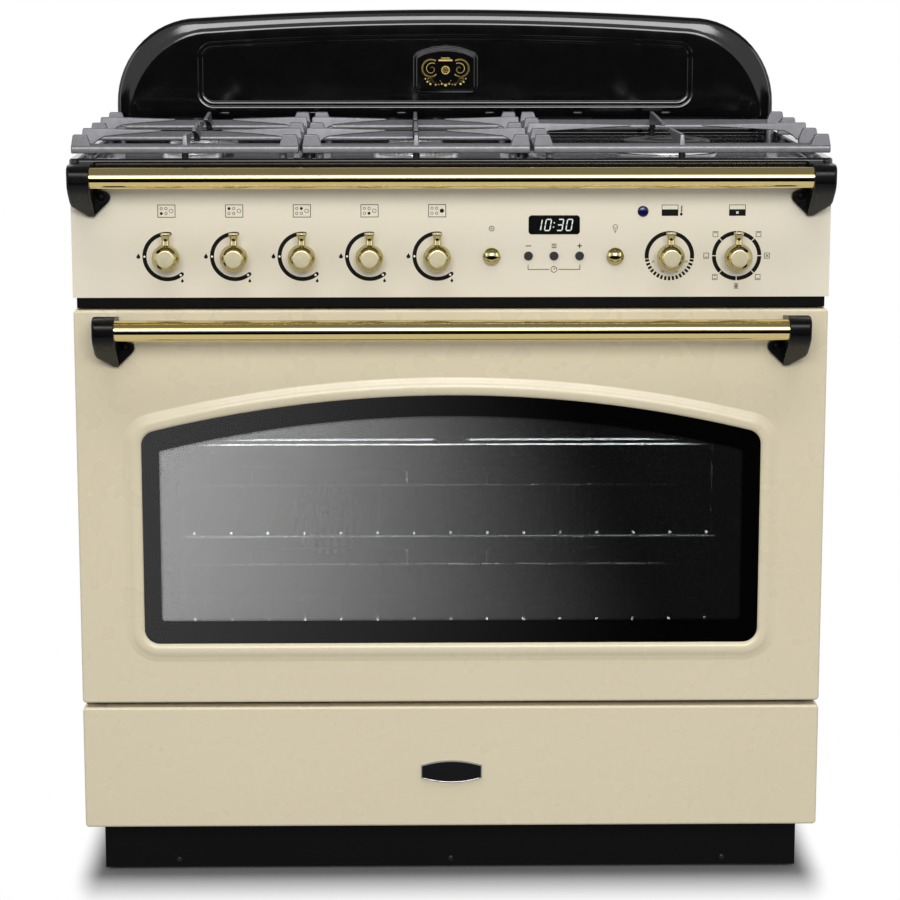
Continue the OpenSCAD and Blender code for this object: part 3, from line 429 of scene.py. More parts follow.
# The oven cavity: one pressed steel box in dark grey vitreous enamel with a fine pale speckle, with
# two slotted fan covers of the same enamel on its rear wall.
oven_enamel, tree, shader = material("speckled oven enamel", IOR=1.52)
speckle = grain(tree, 1.6, 0.0)
ramp = add(tree, "ShaderNodeValToRGB", None, {0: speckle.outputs[0]})
ramp.color_ramp.elements[0].position = 0.66
ramp.color_ramp.elements[0].color = srgb("33373D")
ramp.color_ramp.elements[1].position = 0.72
ramp.color_ramp.elements[1].color = srgb("737A83")
tree.links.new(ramp.outputs[0], shader.inputs["Base Color"])
uneven(tree, shader, grain(tree, 30), "Roughness", 0.16, 0.28)
relief(tree, shader, grain(tree, 7), 0.05, 0.3)
rounded_copy("oven_liner", "oven_cavity", oven_enamel, "chassis", 1.5)
rounded_copy("fan_baffle", "fan_covers", oven_enamel, "chassis", 1.0)


# Chromed steel wire: the side ladders with their six rails, and two flat shelves. A shelf is a frame
# of 6 mm wire with thin cross wires welded over it, whose ends tip up at the front, and two low stops at the rear.
def round_path(points, radius, steps=5):
    """The points of a path with its corners rounded, in millimetres."""
    path = [Vector(points[0])]
    for before, corner, after in zip(points, points[1:], points[2:]):
        before, corner, after = Vector(before), Vector(corner), Vector(after)
        start = corner + (before - corner).normalized() * radius
        end = corner + (after - corner).normalized() * radius
        for i in range(steps + 1):
            t = i / steps
            path.append(start * (1 - t) ** 2 + corner * 2 * t * (1 - t) + end * t ** 2)
    path.append(Vector(points[-1]))
    return path


def wire(points, radius, sides=10):
    """A round wire with closed ends along points given as x, depth and height in millimetres."""
    rings = []
    side = None
    for i, point in enumerate(points):
        ahead = (Vector(points[min(i + 1, len(points) - 1)]) - Vector(points[max(i - 1, 0)])).normalized()
        if side is None:
            side = ahead.orthogonal().normalized()
        side = (side - ahead * side.dot(ahead)).normalized()
        up = ahead.cross(side)
        ring = []
        for k in range(sides):
            angle = 2 * math.pi * k / sides
            spot = Vector(point) + (side * math.cos(angle) + up * math.sin(angle)) * radius
            ring.append(at(*spot))
        rings.append(ring)
    return skin(rings, True, True)


chrome_wire, tree, shader = material("bright chromed wire", Metallic=1.0)
tinted(tree, shader, grain(tree, 20), "C4C8CC", "D6DADD")
uneven(tree, shader, grain(tree, 4), "Roughness", 0.12, 0.22)


def depth_of(y):
    return (y - face_y) * 1000


shelf_low, shelf_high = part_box("oven_shelves")
shelf_half = shelf_high.x * 1000 - 3
shelf_front, shelf_rear = depth_of(shelf_low.y), depth_of(shelf_high.y)
shelf_levels = [shelf_low.z * 1000 + 3, shelf_high.z * 1000 - 3]
wire_pitch = 45
cross_wires = int((shelf_half - 10) // wire_pitch)
for number, z in enumerate(shelf_levels, 1):
    corners = [(-shelf_half, shelf_rear, z), (-shelf_half, shelf_front, z), (shelf_half, shelf_front, z),
               (shelf_half, shelf_rear, z)]
    parts = [wire(round_path(corners, 22), 2.6),
             wire([(-shelf_half, shelf_rear - 8, z), (shelf_half, shelf_rear - 8, z)], 2.4)]
    for middle in (-158, 158):
        stop = [(middle - 104, shelf_rear - 8, z), (middle - 104, shelf_rear - 3, z + 21),
                (middle + 104, shelf_rear - 3, z + 21), (middle + 104, shelf_rear - 8, z)]
        parts.append(wire(round_path(stop, 8), 1.7, 8))
    place_mesh(f"shelf_{number}_frame", mesh_of(joined(parts), "frame"), chrome_wire, "chassis")
    one = [(-cross_wires * wire_pitch, shelf_rear - 9, z + 2.2),
           (-cross_wires * wire_pitch, shelf_front + 14, z + 2.4),
           (-cross_wires * wire_pitch, shelf_front + 4, z + 3.6),
           (-cross_wires * wire_pitch, shelf_front + 1.4, z + 3.9),
           (-cross_wires * wire_pitch, shelf_front - 1.2, z + 4.7)]
    across = repeated(mesh_of(wire(one, 1.8, 10), "cross wire"), 2 * cross_wires + 1, chrome_wire,
                      step=(mm(wire_pitch), 0, 0))
    piece = place_mesh(f"shelf_{number}_cross_wires", across, chrome_wire, "chassis")
    if number == 1:
        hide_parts("oven_shelves")
rounded_copy("shelf_ladders", "side_ladders", chrome_wire, "chassis", 0.3)

# Sheathed heating elements: Incoloy tube that heat has turned brown-grey, dull and slightly mottled.
heater, tree, shader = material("heat-stained element sheath", Metallic=0.9)
tinted(tree, shader, grain(tree, 18), "4A4440", "6B625A")
uneven(tree, shader, grain(tree, 5), "Roughness", 0.38, 0.55)
paint(heater, "oven_elements")

# The lamp's cover is pressed borosilicate glass with a frosted inside.
lamp_glass, tree, shader = material("frosted lamp glass", IOR=1.47)
shader.inputs["Transmission Weight"].default_value = 0.6
tinted(tree, shader, grain(tree, 6), "E6E2D2", "F2EFE4")
uneven(tree, shader, grain(tree, 3), "Roughness", 0.25, 0.4)
paint(lamp_glass, "oven_lamp")


# The oven door's skin: deep-drawn sheet steel in cream vitreous enamel. A fine step and then a full round
# bead run round the arched window, and the edges fold back over the frame behind.
def frame_ring(half, low, high, inset, depth, corner):
    """Points round a front whose edges are at plus and minus half and at low and high, drawn in by an inset."""
    ring = []
    for sx, sz, start in ((1, 1, 0), (-1, 1, 90), (-1, -1, 180), (1, -1, 270)):
        for k in range(7):
            angle = math.radians(start + 15 * k)
            x = sx * (half - corner) + (corner - inset) * math.cos(angle)
            z = (high - corner if sz > 0 else low + corner) + (corner - inset) * math.sin(angle)
            ring.append(at(x, depth, z))
    return ring


def folded_rings(half, low, high, fold, radius):
    """The rings of a folded front, from its rear rim to its flat face."""
    corner = radius + 1.5
    rings = [frame_ring(half, low, high, 0, fold, corner), frame_ring(half, low, high, 0, radius, corner)]
    for k in range(1, 6):
        lean = math.radians(18 * k)
        rings.append(frame_ring(half, low, high, radius - radius * math.cos(lean),
                                radius - radius * math.sin(lean), corner))
    return rings


def faced(work, direction):
    """Turns an open mesh so that most of its area faces a direction."""
    lean = sum((face.normal * face.calc_area() for face in work.faces), Vector())
    if lean.dot(Vector(direction)) < 0:
        bmesh.ops.reverse_faces(work, faces=work.faces)
    return work


def fill_between(work, outer, inner):
    """Fills the flat area between two closed rings of points that the mesh already has."""
    rows = []
    for ring in (outer, inner):
        spots = {point.to_tuple(6) for point in ring}
        rows.append({vert for vert in work.verts if vert.co.to_tuple(6) in spots})
    edges = {edge for row in rows for vert in row for edge in vert.link_edges if edge.other_vert(vert) in row}
    bmesh.ops.triangle_fill(work, use_beauty=True, use_dissolve=False,
                            edges=[edge for edge in edges if len(edge.link_faces) < 2])


SHEET = 1.3
thickness = ("SOLIDIFY", {"thickness": mm(SHEET), "offset": -1.0})

cream, tree, shader = material("cream vitreous enamel", IOR=1.52)
tinted(tree, shader, grain(tree, 180, 1.0), "D7CCAF", "DBD0B4")
uneven(tree, shader, grain(tree, 40), "Roughness", 0.25, 0.32)
relief(tree, shader, grain(tree, 11, 1.0), 0.06, 0.2)

door_low, door_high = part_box("door_outer_panel")
door_half = door_high.x * 1000
door_foot, door_top = door_low.z * 1000, door_high.z * 1000
window_half = door_half - 77.5
window_foot = door_foot + 74
window_top = door_top - 103.5
window_rise = 46.5
window_corner = 18
arch = (window_half ** 2 + window_rise ** 2) / (2 * window_rise)


def window_ring(grow, depth, arch_steps=48):
    """The window's outline grown by a distance: a flat foot, upright sides, round corners and an arched top."""
    half, corner, big, middle = window_half + grow, window_corner + grow, arch + grow, window_top - arch
    corner = max(corner, 4)
    x = half - corner
    z = middle + math.sqrt((big - corner) ** 2 - x ** 2)
    lean = math.atan2(z - middle, x)
    low = window_foot - grow + corner
    spots = []
    for cx, cz, radius, first, last, steps in (
            (x, low, corner, -math.pi / 2, 0, 8), (x, z, corner, 0, lean, 8),
            (0, middle, big, lean, math.pi - lean, arch_steps),
            (-x, z, corner, math.pi - lean, math.pi, 8), (-x, low, corner, math.pi, 1.5 * math.pi, 8)):
        for k in range(steps + 1):
            angle = first + (last - first) * k / steps
            spots.append(at(cx + radius * math.cos(angle), depth, cz + radius * math.sin(angle)))
    return spots


bead = [(23, 0), (21.8, -0.12), (20.6, -0.38), (19.4, -0.7), (18.2, -0.94), (17, -1.15), (15.6, -1.55),
        (13.8, -2.3),
        (11.8, -3.0), (9.6, -3.4), (7.4, -3.5), (5.2, -3.35), (3.2, -2.85), (1.6, -2.0), (0.5, -0.9),
        (0, 0.2), (0, 1.4)]
outer_rings = folded_rings(door_half, door_foot, door_top, 25, 3)
bead_rings = [window_ring(grow, depth) for grow, depth in bead]
whole = joined([skin(outer_rings), skin(bead_rings)])
fill_between(whole, outer_rings[-1], bead_rings[0])
bmesh.ops.remove_doubles(whole, verts=whole.verts, dist=mm(0.001))
bmesh.ops.recalc_face_normals(whole, faces=whole.faces)
# Two slots in the foot's fold let the hinge brackets pass when the door lies open.
slot_inner, slot_outer = 422, 434
for edge in (-slot_inner, -slot_outer, slot_inner, slot_outer):
    fold = [face for face in whole.faces if max(vert.co.z for vert in face.verts) < mm(door_foot + 0.1)]
    parts = {part for face in fold for part in [face, *face.edges, *face.verts]}
    bmesh.ops.bisect_plane(whole, geom=list(parts), plane_co=(mm(edge), 0, 0), plane_no=(1, 0, 0))
gone = [face for face in whole.faces if max(vert.co.z for vert in face.verts) < mm(door_foot + 0.1)
        and slot_inner < abs(face.calc_center_median().x * 1000) < slot_outer]
bmesh.ops.delete(whole, geom=gone, context="FACES")
door_skin = applied(mesh_of(faced(whole, (0, -1, 0)), "door skin"), thickness)
place_mesh("door_skin", door_skin, cream, "door", "door_outer_panel")


# The door's glass: a 4 mm outer pane with a black ceramic border and a heat-reflecting tin oxide coat on its
# inside, which makes it a mirror within the border, and a flat inner pane. Behind them is the black enamelled frame.
clear_glass, tree, shader = material("toughened soda-lime glass", Roughness=0.0, IOR=1.44)
shader.inputs["Transmission Weight"].default_value = 1.0
tinted(tree, shader, grain(tree, 120), "EDEEED", "F2F2F1")

coated_glass, tree, shader = material("tin oxide coat on glass", Roughness=0.02, IOR=2.6)
shader.inputs["Transmission Weight"].default_value = 1.0
tinted(tree, shader, grain(tree, 120), "CECFD0", "D8D8D8")

border_black, tree, shader = material("black ceramic glass print", Specular_IOR_Level=0.0)
tinted(tree, shader, grain(tree, 12), "020202", "040404")
uneven(tree, shader, grain(tree, 4), "Roughness", 0.25, 0.4)

pane_front, pane_back = (depth_of(corner.y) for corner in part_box("door_outer_glass"))
pane = skin([window_ring(12, pane_back), window_ring(12, pane_front + 0.4), window_ring(11.6, pane_front)],
            True, True)
outer_pane = place_mesh("door_outer_pane", mesh_of(pane, "pane"), clear_glass, "door", "door_outer_glass")
border, more_above, more_below = 21, 5, 6.6
print_back = pane_back + 0.04


def border_ring(drawn_in, depth, arch_steps=48):
    """The border's inner edge, drawn in by a distance at the sides and further over the top and along the foot."""
    centre = (window_foot + window_top) / 2
    ring = []
    for spot in window_ring(-drawn_in, depth, arch_steps):
        x, z = spot.x * 1000, spot.z * 1000
        ring.append(at(x, depth, z - more_above if z > centre else z + more_below))
    return ring


band = skin([border_ring(border, pane_back - 0.12), window_ring(11.9, pane_back - 0.12),
             window_ring(11.9, print_back),
             border_ring(border, print_back), border_ring(border, pane_back - 0.12)])
place_mesh("door_glass_border", mesh_of(band, "border"), border_black, "door")
# The border fades into rows of dots, each 0.9 mm across and smaller in the next row.
dot_step, row_shift = 1.3, 0.8
dots = []
for row, (inset, size) in enumerate(((border + 0.7, 0.45), (border + 1.6, 0.33), (border + 2.4, 0.22))):
    ring = [(p.x * 1000, p.z * 1000) for p in border_ring(inset, pane_back, 40)]
    ring.append(ring[0])
    travelled, wanted = 0.0, row_shift * row
    for (x0, z0), (x1, z1) in zip(ring, ring[1:]):
        length = math.hypot(x1 - x0, z1 - z0)
        while length > 0 and wanted <= travelled + length:
            t = (wanted - travelled) / length
            dots.append((x0 + (x1 - x0) * t, z0 + (z1 - z0) * t, size))
            wanted += dot_step
        travelled += length
work = bmesh.new()
for x, z, size in dots:
    work.faces.new([work.verts.new(at(x + size * math.cos(k * math.pi / 3), print_back,
                                      z + size * math.sin(k * math.pi / 3)))
                    for k in range(6)])
dot_mesh = applied(mesh_of(work, "dots"), ("SOLIDIFY", {"thickness": mm(0.1), "offset": 0.0}))
place_mesh("door_glass_dots", dot_mesh, border_black, "door")
coat = skin([border_ring(border - 1, print_back + 0.02), border_ring(border - 1, print_back + 0.06)], True,
            True)
coat = place_mesh("door_glass_coat", mesh_of(coat, "coat"), coated_glass, "door")
rounded_copy("door_inner_glass", "door_inner_pane", clear_glass, "door", 0.4)
for piece in (outer_pane, coat, bpy.data.objects["door_glass_border"]):
    lit_glass.objects.link(piece)

frame_black, tree, shader = material("black ground-coat enamel", IOR=1.5)
tinted(tree, shader, grain(tree, 25), "0D0D0E", "151517")
uneven(tree, shader, grain(tree, 12), "Roughness", 0.22, 0.34)
relief(tree, shader, grain(tree, 8), 0.05, 0.25)
rounded_copy("door_inner_frame", "door_frame", frame_black, "door", 1.2)

# A bent spring wire across the inner pane holds it in the frame: one long run with two hooks at its middle, and
# two shorter runs above it whose ends are rounded. Its outer ends turn back past the pane's edge.
spring_steel, tree, shader = material("satin spring steel", Metallic=1.0)
tinted(tree, shader, grain(tree, 15), "D4D7DA", "E2E4E6")
uneven(tree, shader, grain(tree, 6), "Roughness", 0.2, 0.28)
spring_front, spring_rear, low_run, high_run = 29.0, 33.2, 545.8, 551.9
run_half, run_end, hook_side = 350, 20.5, 14
long_run = [(-354, spring_rear, low_run), (-354, spring_front, low_run), (354, spring_front, low_run),
            (354, spring_rear, low_run)]
parts = [wire(round_path(long_run[:2] + [(-run_half, spring_front, low_run)], 2.5), 0.95, 12),
         wire(round_path([(run_half, spring_front, low_run)] + long_run[2:], 2.5), 0.95, 12)]


def strip(first, last, z, half):
    """A straight run of the spring, rolled flat at the front, whose face leans back a little."""
    section = [(-0.1, -half), (-0.4, -0.85 * half), (-0.4 + 0.49 * half, 0.85 * half), (0.5, half),
               (0.9, 0.8 * half), (0.9, -0.8 * half)]
    return skin([[at(x, spring_front + dd, z + dz) for dd, dz in section] for x in (first, last)], True, True)


parts.append(strip(-run_half, run_half, low_run, 1.0))
for side in (-1, 1):
    upper = [(side * 358, spring_rear, high_run), (side * 358, spring_front, high_run),
             (side * run_end, spring_front, high_run)]
    hook = [(side * hook_side, spring_front, low_run), (side * (hook_side + 0.6), spring_front, low_run + 3.5),
            (side * (hook_side + 2.4), spring_front - 0.2, high_run - 0.6)]
    parts += [wire(round_path(upper[:2] + [(side * run_half, spring_front, high_run)], 2.5), 1.1, 12),
              wire(round_path(hook, 1.5), 0.9, 10),
              strip(*sorted((side * run_half, side * run_end)), high_run, 1.3)]
    end = [(0, -2.2), (1.1, -1.9), (1.7, -1.1), (1.9, 0), (1.7, 1.1), (1.1, 1.9), (0, 2.2)]
    parts.append(turned(end, at(side * 20, spring_front - 0.2, high_run), "x", 16))
place_mesh("inner_pane_spring", mesh_of(joined(parts), "spring"), spring_steel, "door")

# The seal is a braided glass-fibre rope, grey, with a plait every 4 mm.
rope, tree, shader = material("braided glass-fibre rope", Roughness=0.9)
place = add(tree, "ShaderNodeTexCoord")
plait = add(tree, "ShaderNodeTexWave", {"bands_direction": "DIAGONAL"}, {"Vector": place.outputs["Object"]},
            Scale=1 / mm(4) / 6.28, Distortion=1.5, Detail=1.0)
tinted(tree, shader, plait, "3C3E42", "6B6E73")
relief(tree, shader, plait, 0.6, 0.7)
rounded_copy("door_seal", "door_rope_seal", rope, "chassis", 0.9)


# The storage drawer: a front of the same folded and enamelled steel over a galvanised box on two runners.
# Its badge is a small cast plate, black with a polished rim; it is bare.
drawer_low, drawer_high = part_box("drawer_front")
rings = folded_rings(drawer_high.x * 1000, drawer_low.z * 1000, drawer_high.z * 1000, 22, 3)
front = applied(mesh_of(faced(skin(rings, last_cap=True), (0, -1, 0)), "drawer front"), thickness)
place_mesh("drawer_skin", front, cream, "drawer", "drawer_front")
paint(zinc, "drawer_box", "drawer_runners")

gloss_black, tree, shader = material("black stove enamel", IOR=1.5)
tinted(tree, shader, grain(tree, 30), "020203", "040405")
uneven(tree, shader, grain(tree, 20), "Roughness", 0.07, 0.1)

badge_low, badge_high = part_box("drawer_badge")
badge_half, badge_z = badge_high.x * 1000, (badge_low.z + badge_high.z) * 500
badge_bow, badge_h = 6, (badge_high.z - badge_low.z) * 1000


def badge_ring(inset, depth):
    """The badge's outline: two bowed long edges between two short straight ends."""
    half, rise = badge_half - inset, badge_h / 2 - inset
    ring = []
    for side in (1, -1):
        for k in range(25):
            x = side * half * (1 - k / 12)
            ring.append(at(x, depth, badge_z + side * (rise - badge_bow * (x / badge_half) ** 2)))
    return ring


badge_black, tree, shader = material("black badge enamel", Specular_IOR_Level=0.12)
tinted(tree, shader, grain(tree, 9), "0A0A0C", "101013")
uneven(tree, shader, grain(tree, 5), "Roughness", 0.3, 0.42)
rim_metal, tree, shader = material("dulled chrome rim", Metallic=1.0)
tinted(tree, shader, grain(tree, 12), "A3A5A8", "B4B6B9")
uneven(tree, shader, grain(tree, 4), "Roughness", 0.16, 0.26)
rim = [badge_ring(0, 0), badge_ring(0, -1.7), badge_ring(0.15, -2.4), badge_ring(0.5, -2.85),
       badge_ring(0.9, -2.9), badge_ring(1.3, -2.7),
       badge_ring(1.5, -2.2), badge_ring(1.5, -1.2), badge_ring(1.5, 0), badge_ring(0, 0)]
place_mesh("badge_rim", mesh_of(skin(rim), "rim"), rim_metal, "drawer", "drawer_badge")
field = [badge_ring(1.45, -0.1), badge_ring(1.45, -1.5), badge_ring(2.6, -1.75), badge_ring(5, -1.9)]
place_mesh("badge_plate", mesh_of(skin(field, True, True), "plate"), badge_black, "drawer")


# The control panel: one folded sheet in cream enamel painted paler than the door's as a painted sheen, with its marks
# fired on in black and white ink.
# The marks are plain signs: burner plans, arcs and rings round the knobs, small oven signs and dial numbers.
# Painted sheen: this cream is paler and less yellow than the door's, standing in for the light that the fascia
# reflects.
cream_painted_sheen, tree, shader = material("cream enamel painted paler for sheen", IOR=1.52)
tinted(tree, shader, grain(tree, 180, 1.0), "E3DBC7", "E6DFCD")
uneven(tree, shader, grain(tree, 40), "Roughness", 0.16, 0.22)
relief(tree, shader, grain(tree, 11, 1.0), 0.06, 0.2)
rounded_copy("control_panel", "fascia", cream_painted_sheen, "chassis", 1.0)


def inked(name, shapes, mat, depth=0.0, thick=0.05, body="chassis"):
    """A thin print of flat shapes, each a list of x and z in millimetres, raised from a face at a depth."""
    work = bmesh.new()
    for shape in shapes:
        face = work.faces.new([work.verts.new(at(x, depth, z)) for x, z in shape])
        face.normal_update()
        if face.normal.y > 0:
            face.normal_flip()
    raised = applied(mesh_of(work, name), ("SOLIDIFY", {"thickness": mm(thick), "offset": 1.0}))
    return place_mesh(name, raised, mat, body)


def disc(x, z, radius, sides=28):
    return [(x + radius * math.cos(2 * math.pi * k / sides), z + radius * math.sin(2 * math.pi * k / sides))
            for k in range(sides)]


def ring_part(x, z, outer, inner, first=0, last=360, step=4):
    """Four-sided shapes that follow part of a ring, its angles counted from the right in degrees."""
    count = max(1, round((last - first) / step))
    turns = [math.radians(first + (last - first) * k / count) for k in range(count + 1)]
    return [[(x + r * math.cos(t), z + r * math.sin(t)) for r,
             t in ((inner, a), (outer, a), (outer, b), (inner, b))]
            for a, b in zip(turns, turns[1:])]


def stroke(points, width, closed=False):
    """Shapes that draw a line of a width through points, with round joints."""
    shapes = [disc(x, z, width / 2, 10) for x, z in points] if len(points) > 2 else []
    ends = points[1:] + points[:1] if closed else points[1:]
    for (x0, z0), (x1, z1) in zip(points, ends):
        length = math.hypot(x1 - x0, z1 - z0)
        sx, sz = -(z1 - z0) / length * width / 2, (x1 - x0) / length * width / 2
        shapes.append([(x0 + sx, z0 + sz), (x0 - sx, z0 - sz), (x1 - sx, z1 - sz), (x1 + sx, z1 + sz)])
    return shapes


def frame_of(x, z, w, h, width=0.8):
    return stroke([(x - w / 2, z - h / 2), (x + w / 2, z - h / 2), (x + w / 2, z + h / 2),
                   (x - w / 2, z + h / 2)], width, True)


def bar_of(x, z, w, h):
    return [(x - w / 2, z - h / 2), (x + w / 2, z - h / 2), (x + w / 2, z + h / 2), (x - w / 2, z + h / 2)]


def flame(x, z, h):
    """A small flame: round at its foot, with a point that leans a little."""
    outline = [(0, -0.5), (0.26, -0.42), (0.36, -0.2), (0.3, 0.02), (0.16, 0.2), (0.08, 0.5), (-0.06, 0.3),
               (-0.2, 0.14),
               (-0.34, -0.08), (-0.34, -0.28), (-0.22, -0.44)]
    return [(x + a * h, z + b * h) for a, b in outline]


black_ink, tree, shader = material("black fired ink", Specular_IOR_Level=0.15, IOR=1.5)
tinted(tree, shader, grain(tree, 6), "070706", "0C0B0A")
uneven(tree, shader, grain(tree, 3), "Roughness", 0.3, 0.42)
fine_ink, tree, shader = material("brown-black fired ink, thin lines", Specular_IOR_Level=0.15, IOR=1.5)
tinted(tree, shader, grain(tree, 6), "1E1A15", "2A251E")
uneven(tree, shader, grain(tree, 3), "Roughness", 0.3, 0.42)
white_ink, tree, shader = material("white fired ink", IOR=1.5)
tinted(tree, shader, grain(tree, 6), "E4E2DA", "F0EEE8")
uneven(tree, shader, grain(tree, 3), "Roughness", 0.3, 0.42)

knob_z = 778
sign_z = 832
gas_x = [-337, -257, -177, -97, -17]
temperature_x, function_x = 259, 339
ring_out, ring_in = 29.4, 24.6
solid, thin, light = [], [], []
places = [(-6.1, -2.9), (-6.1, 2.9), (-0.6, 2.9), (-0.6, -2.9), (5.6, 0)]
for number, x in enumerate(gas_x):
    solid += ring_part(x, knob_z, ring_out, ring_in, 83, 309)
    solid += [disc(x + 27 * math.cos(math.radians(a)), knob_z + 27 * math.sin(math.radians(a)), 2.4, 20)
              for a in (83, 309)]
    light += [disc(x - 27, knob_z, 1.3, 18)]
    end = math.radians(305)
    light += [disc(x + 27 * math.cos(end), knob_z + 27 * math.sin(end), 1.35, 18)]
    solid += [flame(x - 34.2, knob_z + 0.7, 6.6), flame(x + 17.4, knob_z - 28.6, 4.8)]
    thin += frame_of(x, sign_z, 20.4, 14.6)
    for spot, (dx, dz) in enumerate(places):
        size = 2.5 if spot == 4 else 1.75
        if spot == number:
            solid.append(disc(x + dx, sign_z + dz, size))
        else:
            thin += ring_part(x + dx, sign_z + dz, size, size - 0.6, step=20)

# The temperature ring has a tooth for each ten degrees over its lower half, and four numbers inside it.
x = temperature_x
solid += ring_part(x, knob_z, ring_out, ring_in, -7, 187)
for k in range(17):
    first = 187 + k * 166 / 17
    solid += ring_part(x, knob_z, ring_out, ring_in, first + 1.9, first + 166 / 17 - 1.9, 4)
solid += [bar_of(x, sign_z - 2.6, 19.6, 7.6)]
thin += frame_of(x, sign_z + 0.1, 19.0, 12.6, 0.7)
thin += stroke([(x + 13.4, sign_z + 5.6), (x + 13.4, sign_z - 4)], 0.9) + [disc(x + 13.4, sign_z - 4.6, 1.7)]
thin += [bar_of(x + 14.6, sign_z + dz, 1.6, 0.5) for dz in (-0.5, 1.4, 3.3, 5.2)]
for text, turn in (("50", 200), ("100", 246), ("150", 293), ("200", 340)):
    curve = bpy.data.curves.new("dial number", "FONT")
    curve.body = text
    curve.size = 3.4
    curve.resolution_u = 3
    curve.align_x = curve.align_y = "CENTER"
    helper = bpy.data.objects.new("dial number", curve)
    scene.collection.objects.link(helper)
    drawn = bpy.data.meshes.new_from_object(helper.evaluated_get(bpy.context.evaluated_depsgraph_get()))
    bpy.data.objects.remove(helper)
    lean = math.radians(turn)
    cx, cz = x + 20.6 * math.cos(lean), knob_z + 20.6 * math.sin(lean)
    thin += [[(cx + drawn.vertices[i].co.x, cz + drawn.vertices[i].co.y) for i in face.vertices]
             for face in drawn.polygons]

# The function ring has eight parts, and a small oven sign stands outside at seven of their joints.
x = function_x
for k in range(8):
    solid += ring_part(x, knob_z, ring_out, ring_in, 45 * k + 1.1, 45 * k + 43.9)
solid += [bar_of(x, sign_z - 2.6, 19.6, 7.6)]
thin += frame_of(x, sign_z + 0.1, 19.0, 12.6, 0.7)
light += [[(x + (2.6 if k % 2 else 0.9) * math.cos(k * math.pi / 4),
            sign_z - 2.6 + (2.6 if k % 2 else 0.9) * math.sin(k * math.pi / 4))
           for k in range(8)]]
signs = {0: "fan", 45: "top", 135: "top", 180: "foot", 225: "both", 270: "bars", 315: "foot"}
for turn, kind in signs.items():
    cx, cz = x + 36.2 * math.cos(math.radians(turn)), knob_z + 36.2 * math.sin(math.radians(turn))
    if kind == "bars":
        thin += [bar_of(cx, cz + dz, 5.2, 0.8) for dz in (-2.6, -0.9, 0.9, 2.6)] + [bar_of(cx, cz, 0.8, 5.6)]
        continue
    thin += frame_of(cx, cz, 5.8, 6.2, 0.65)
    if kind in ("top", "both"):
        thin += [bar_of(cx, cz + 1.7, 3.6, 0.7)]
    if kind in ("foot", "both"):
        thin += [bar_of(cx, cz - 1.7, 3.6, 0.7)]
    if kind == "fan":
        thin += stroke([(cx - 1.5, cz - 1.5), (cx + 1.5, cz + 1.5)],
                       0.7) + stroke([(cx - 1.5, cz + 1.5), (cx + 1.5, cz - 1.5)], 0.7)

# Signs over the buttons: a spark, a bulb, less, mode and more, and a bracket with a clock face below them.
clock_x, clock_step = 121.8, 30.4
thin += ring_part(47.6, 810.7, 3.3, 2.5, step=15) + stroke([(46.2, 810.7), (49, 810.7)],
                                                           0.6) + stroke([(47.6, 809.3), (47.6, 812.1)], 0.6)
bulb = [(194.3 + 2.6 * math.sin(t), 812 - 3.3 * math.cos(t))
        for t in [math.radians(20 * k) for k in range(18)]]
thin += stroke(bulb, 0.6, True) + [bar_of(194.3, 807.3, 2.6, 0.7), bar_of(194.3, 805.9, 1.6, 0.7)]
thin += stroke([(192.9, 812.4), (194.3, 810.6), (195.7, 812.4)], 0.5)
thin += [bar_of(clock_x - clock_step, 790, 6.6, 1.1), bar_of(clock_x + clock_step, 790, 5.6, 1.1),
         bar_of(clock_x + clock_step, 790, 1.1, 5.6)]
thin += [bar_of(clock_x, 790 + dz, 5.8, 1.0) for dz in (-2.1, 0, 2.1)]
for side in (-1, 1):
    thin += stroke([(clock_x + side * 30.8, 767.4), (clock_x + side * 30.8, 762),
                    (clock_x + side * 5.6, 762)], 0.8)
thin += ring_part(clock_x, 762, 3.9, 3.1,
                  step=15) + stroke([(clock_x, 764.2), (clock_x, 762), (clock_x + 1.6, 762.9)], 0.6)
inked("panel_print_black", solid, black_ink)
inked("panel_print_fine", thin, fine_ink)
inked("panel_print_white", light, white_ink, depth=-0.05, thick=0.05)


# The knobs: a turned solid brass ball whose front is faced off flat, and a waisted pointer screwed into
# its rim. The ball and pointer are polished and lacquered, and the flat keeps the lathe's fine satin.
# Painted shade: the ball's brass is darker than the rails' brass. Painted sheen: the flat's brass is paler than the
# ball's.
brass_painted_shade, tree, shader = material("polished lacquered brass painted darker for shade", Metallic=1.0)
tinted(tree, shader, grain(tree, 60), "B6A975", "C4B884")
uneven(tree, shader, grain(tree, 12), "Roughness", 0.07, 0.12)
shader.inputs["Coat Weight"].default_value = 0.15
satin_brass_painted_sheen, tree, shader = material("satin turned brass painted paler for sheen", Metallic=1.0)
tinted(tree, shader, grain(tree, 8), "EEE3BA", "F7ECC9")
uneven(tree, shader, grain(tree, 0.8, 2.0), "Roughness", 0.3, 0.38)
relief(tree, shader, grain(tree, 0.35), 0.01, 0.25)

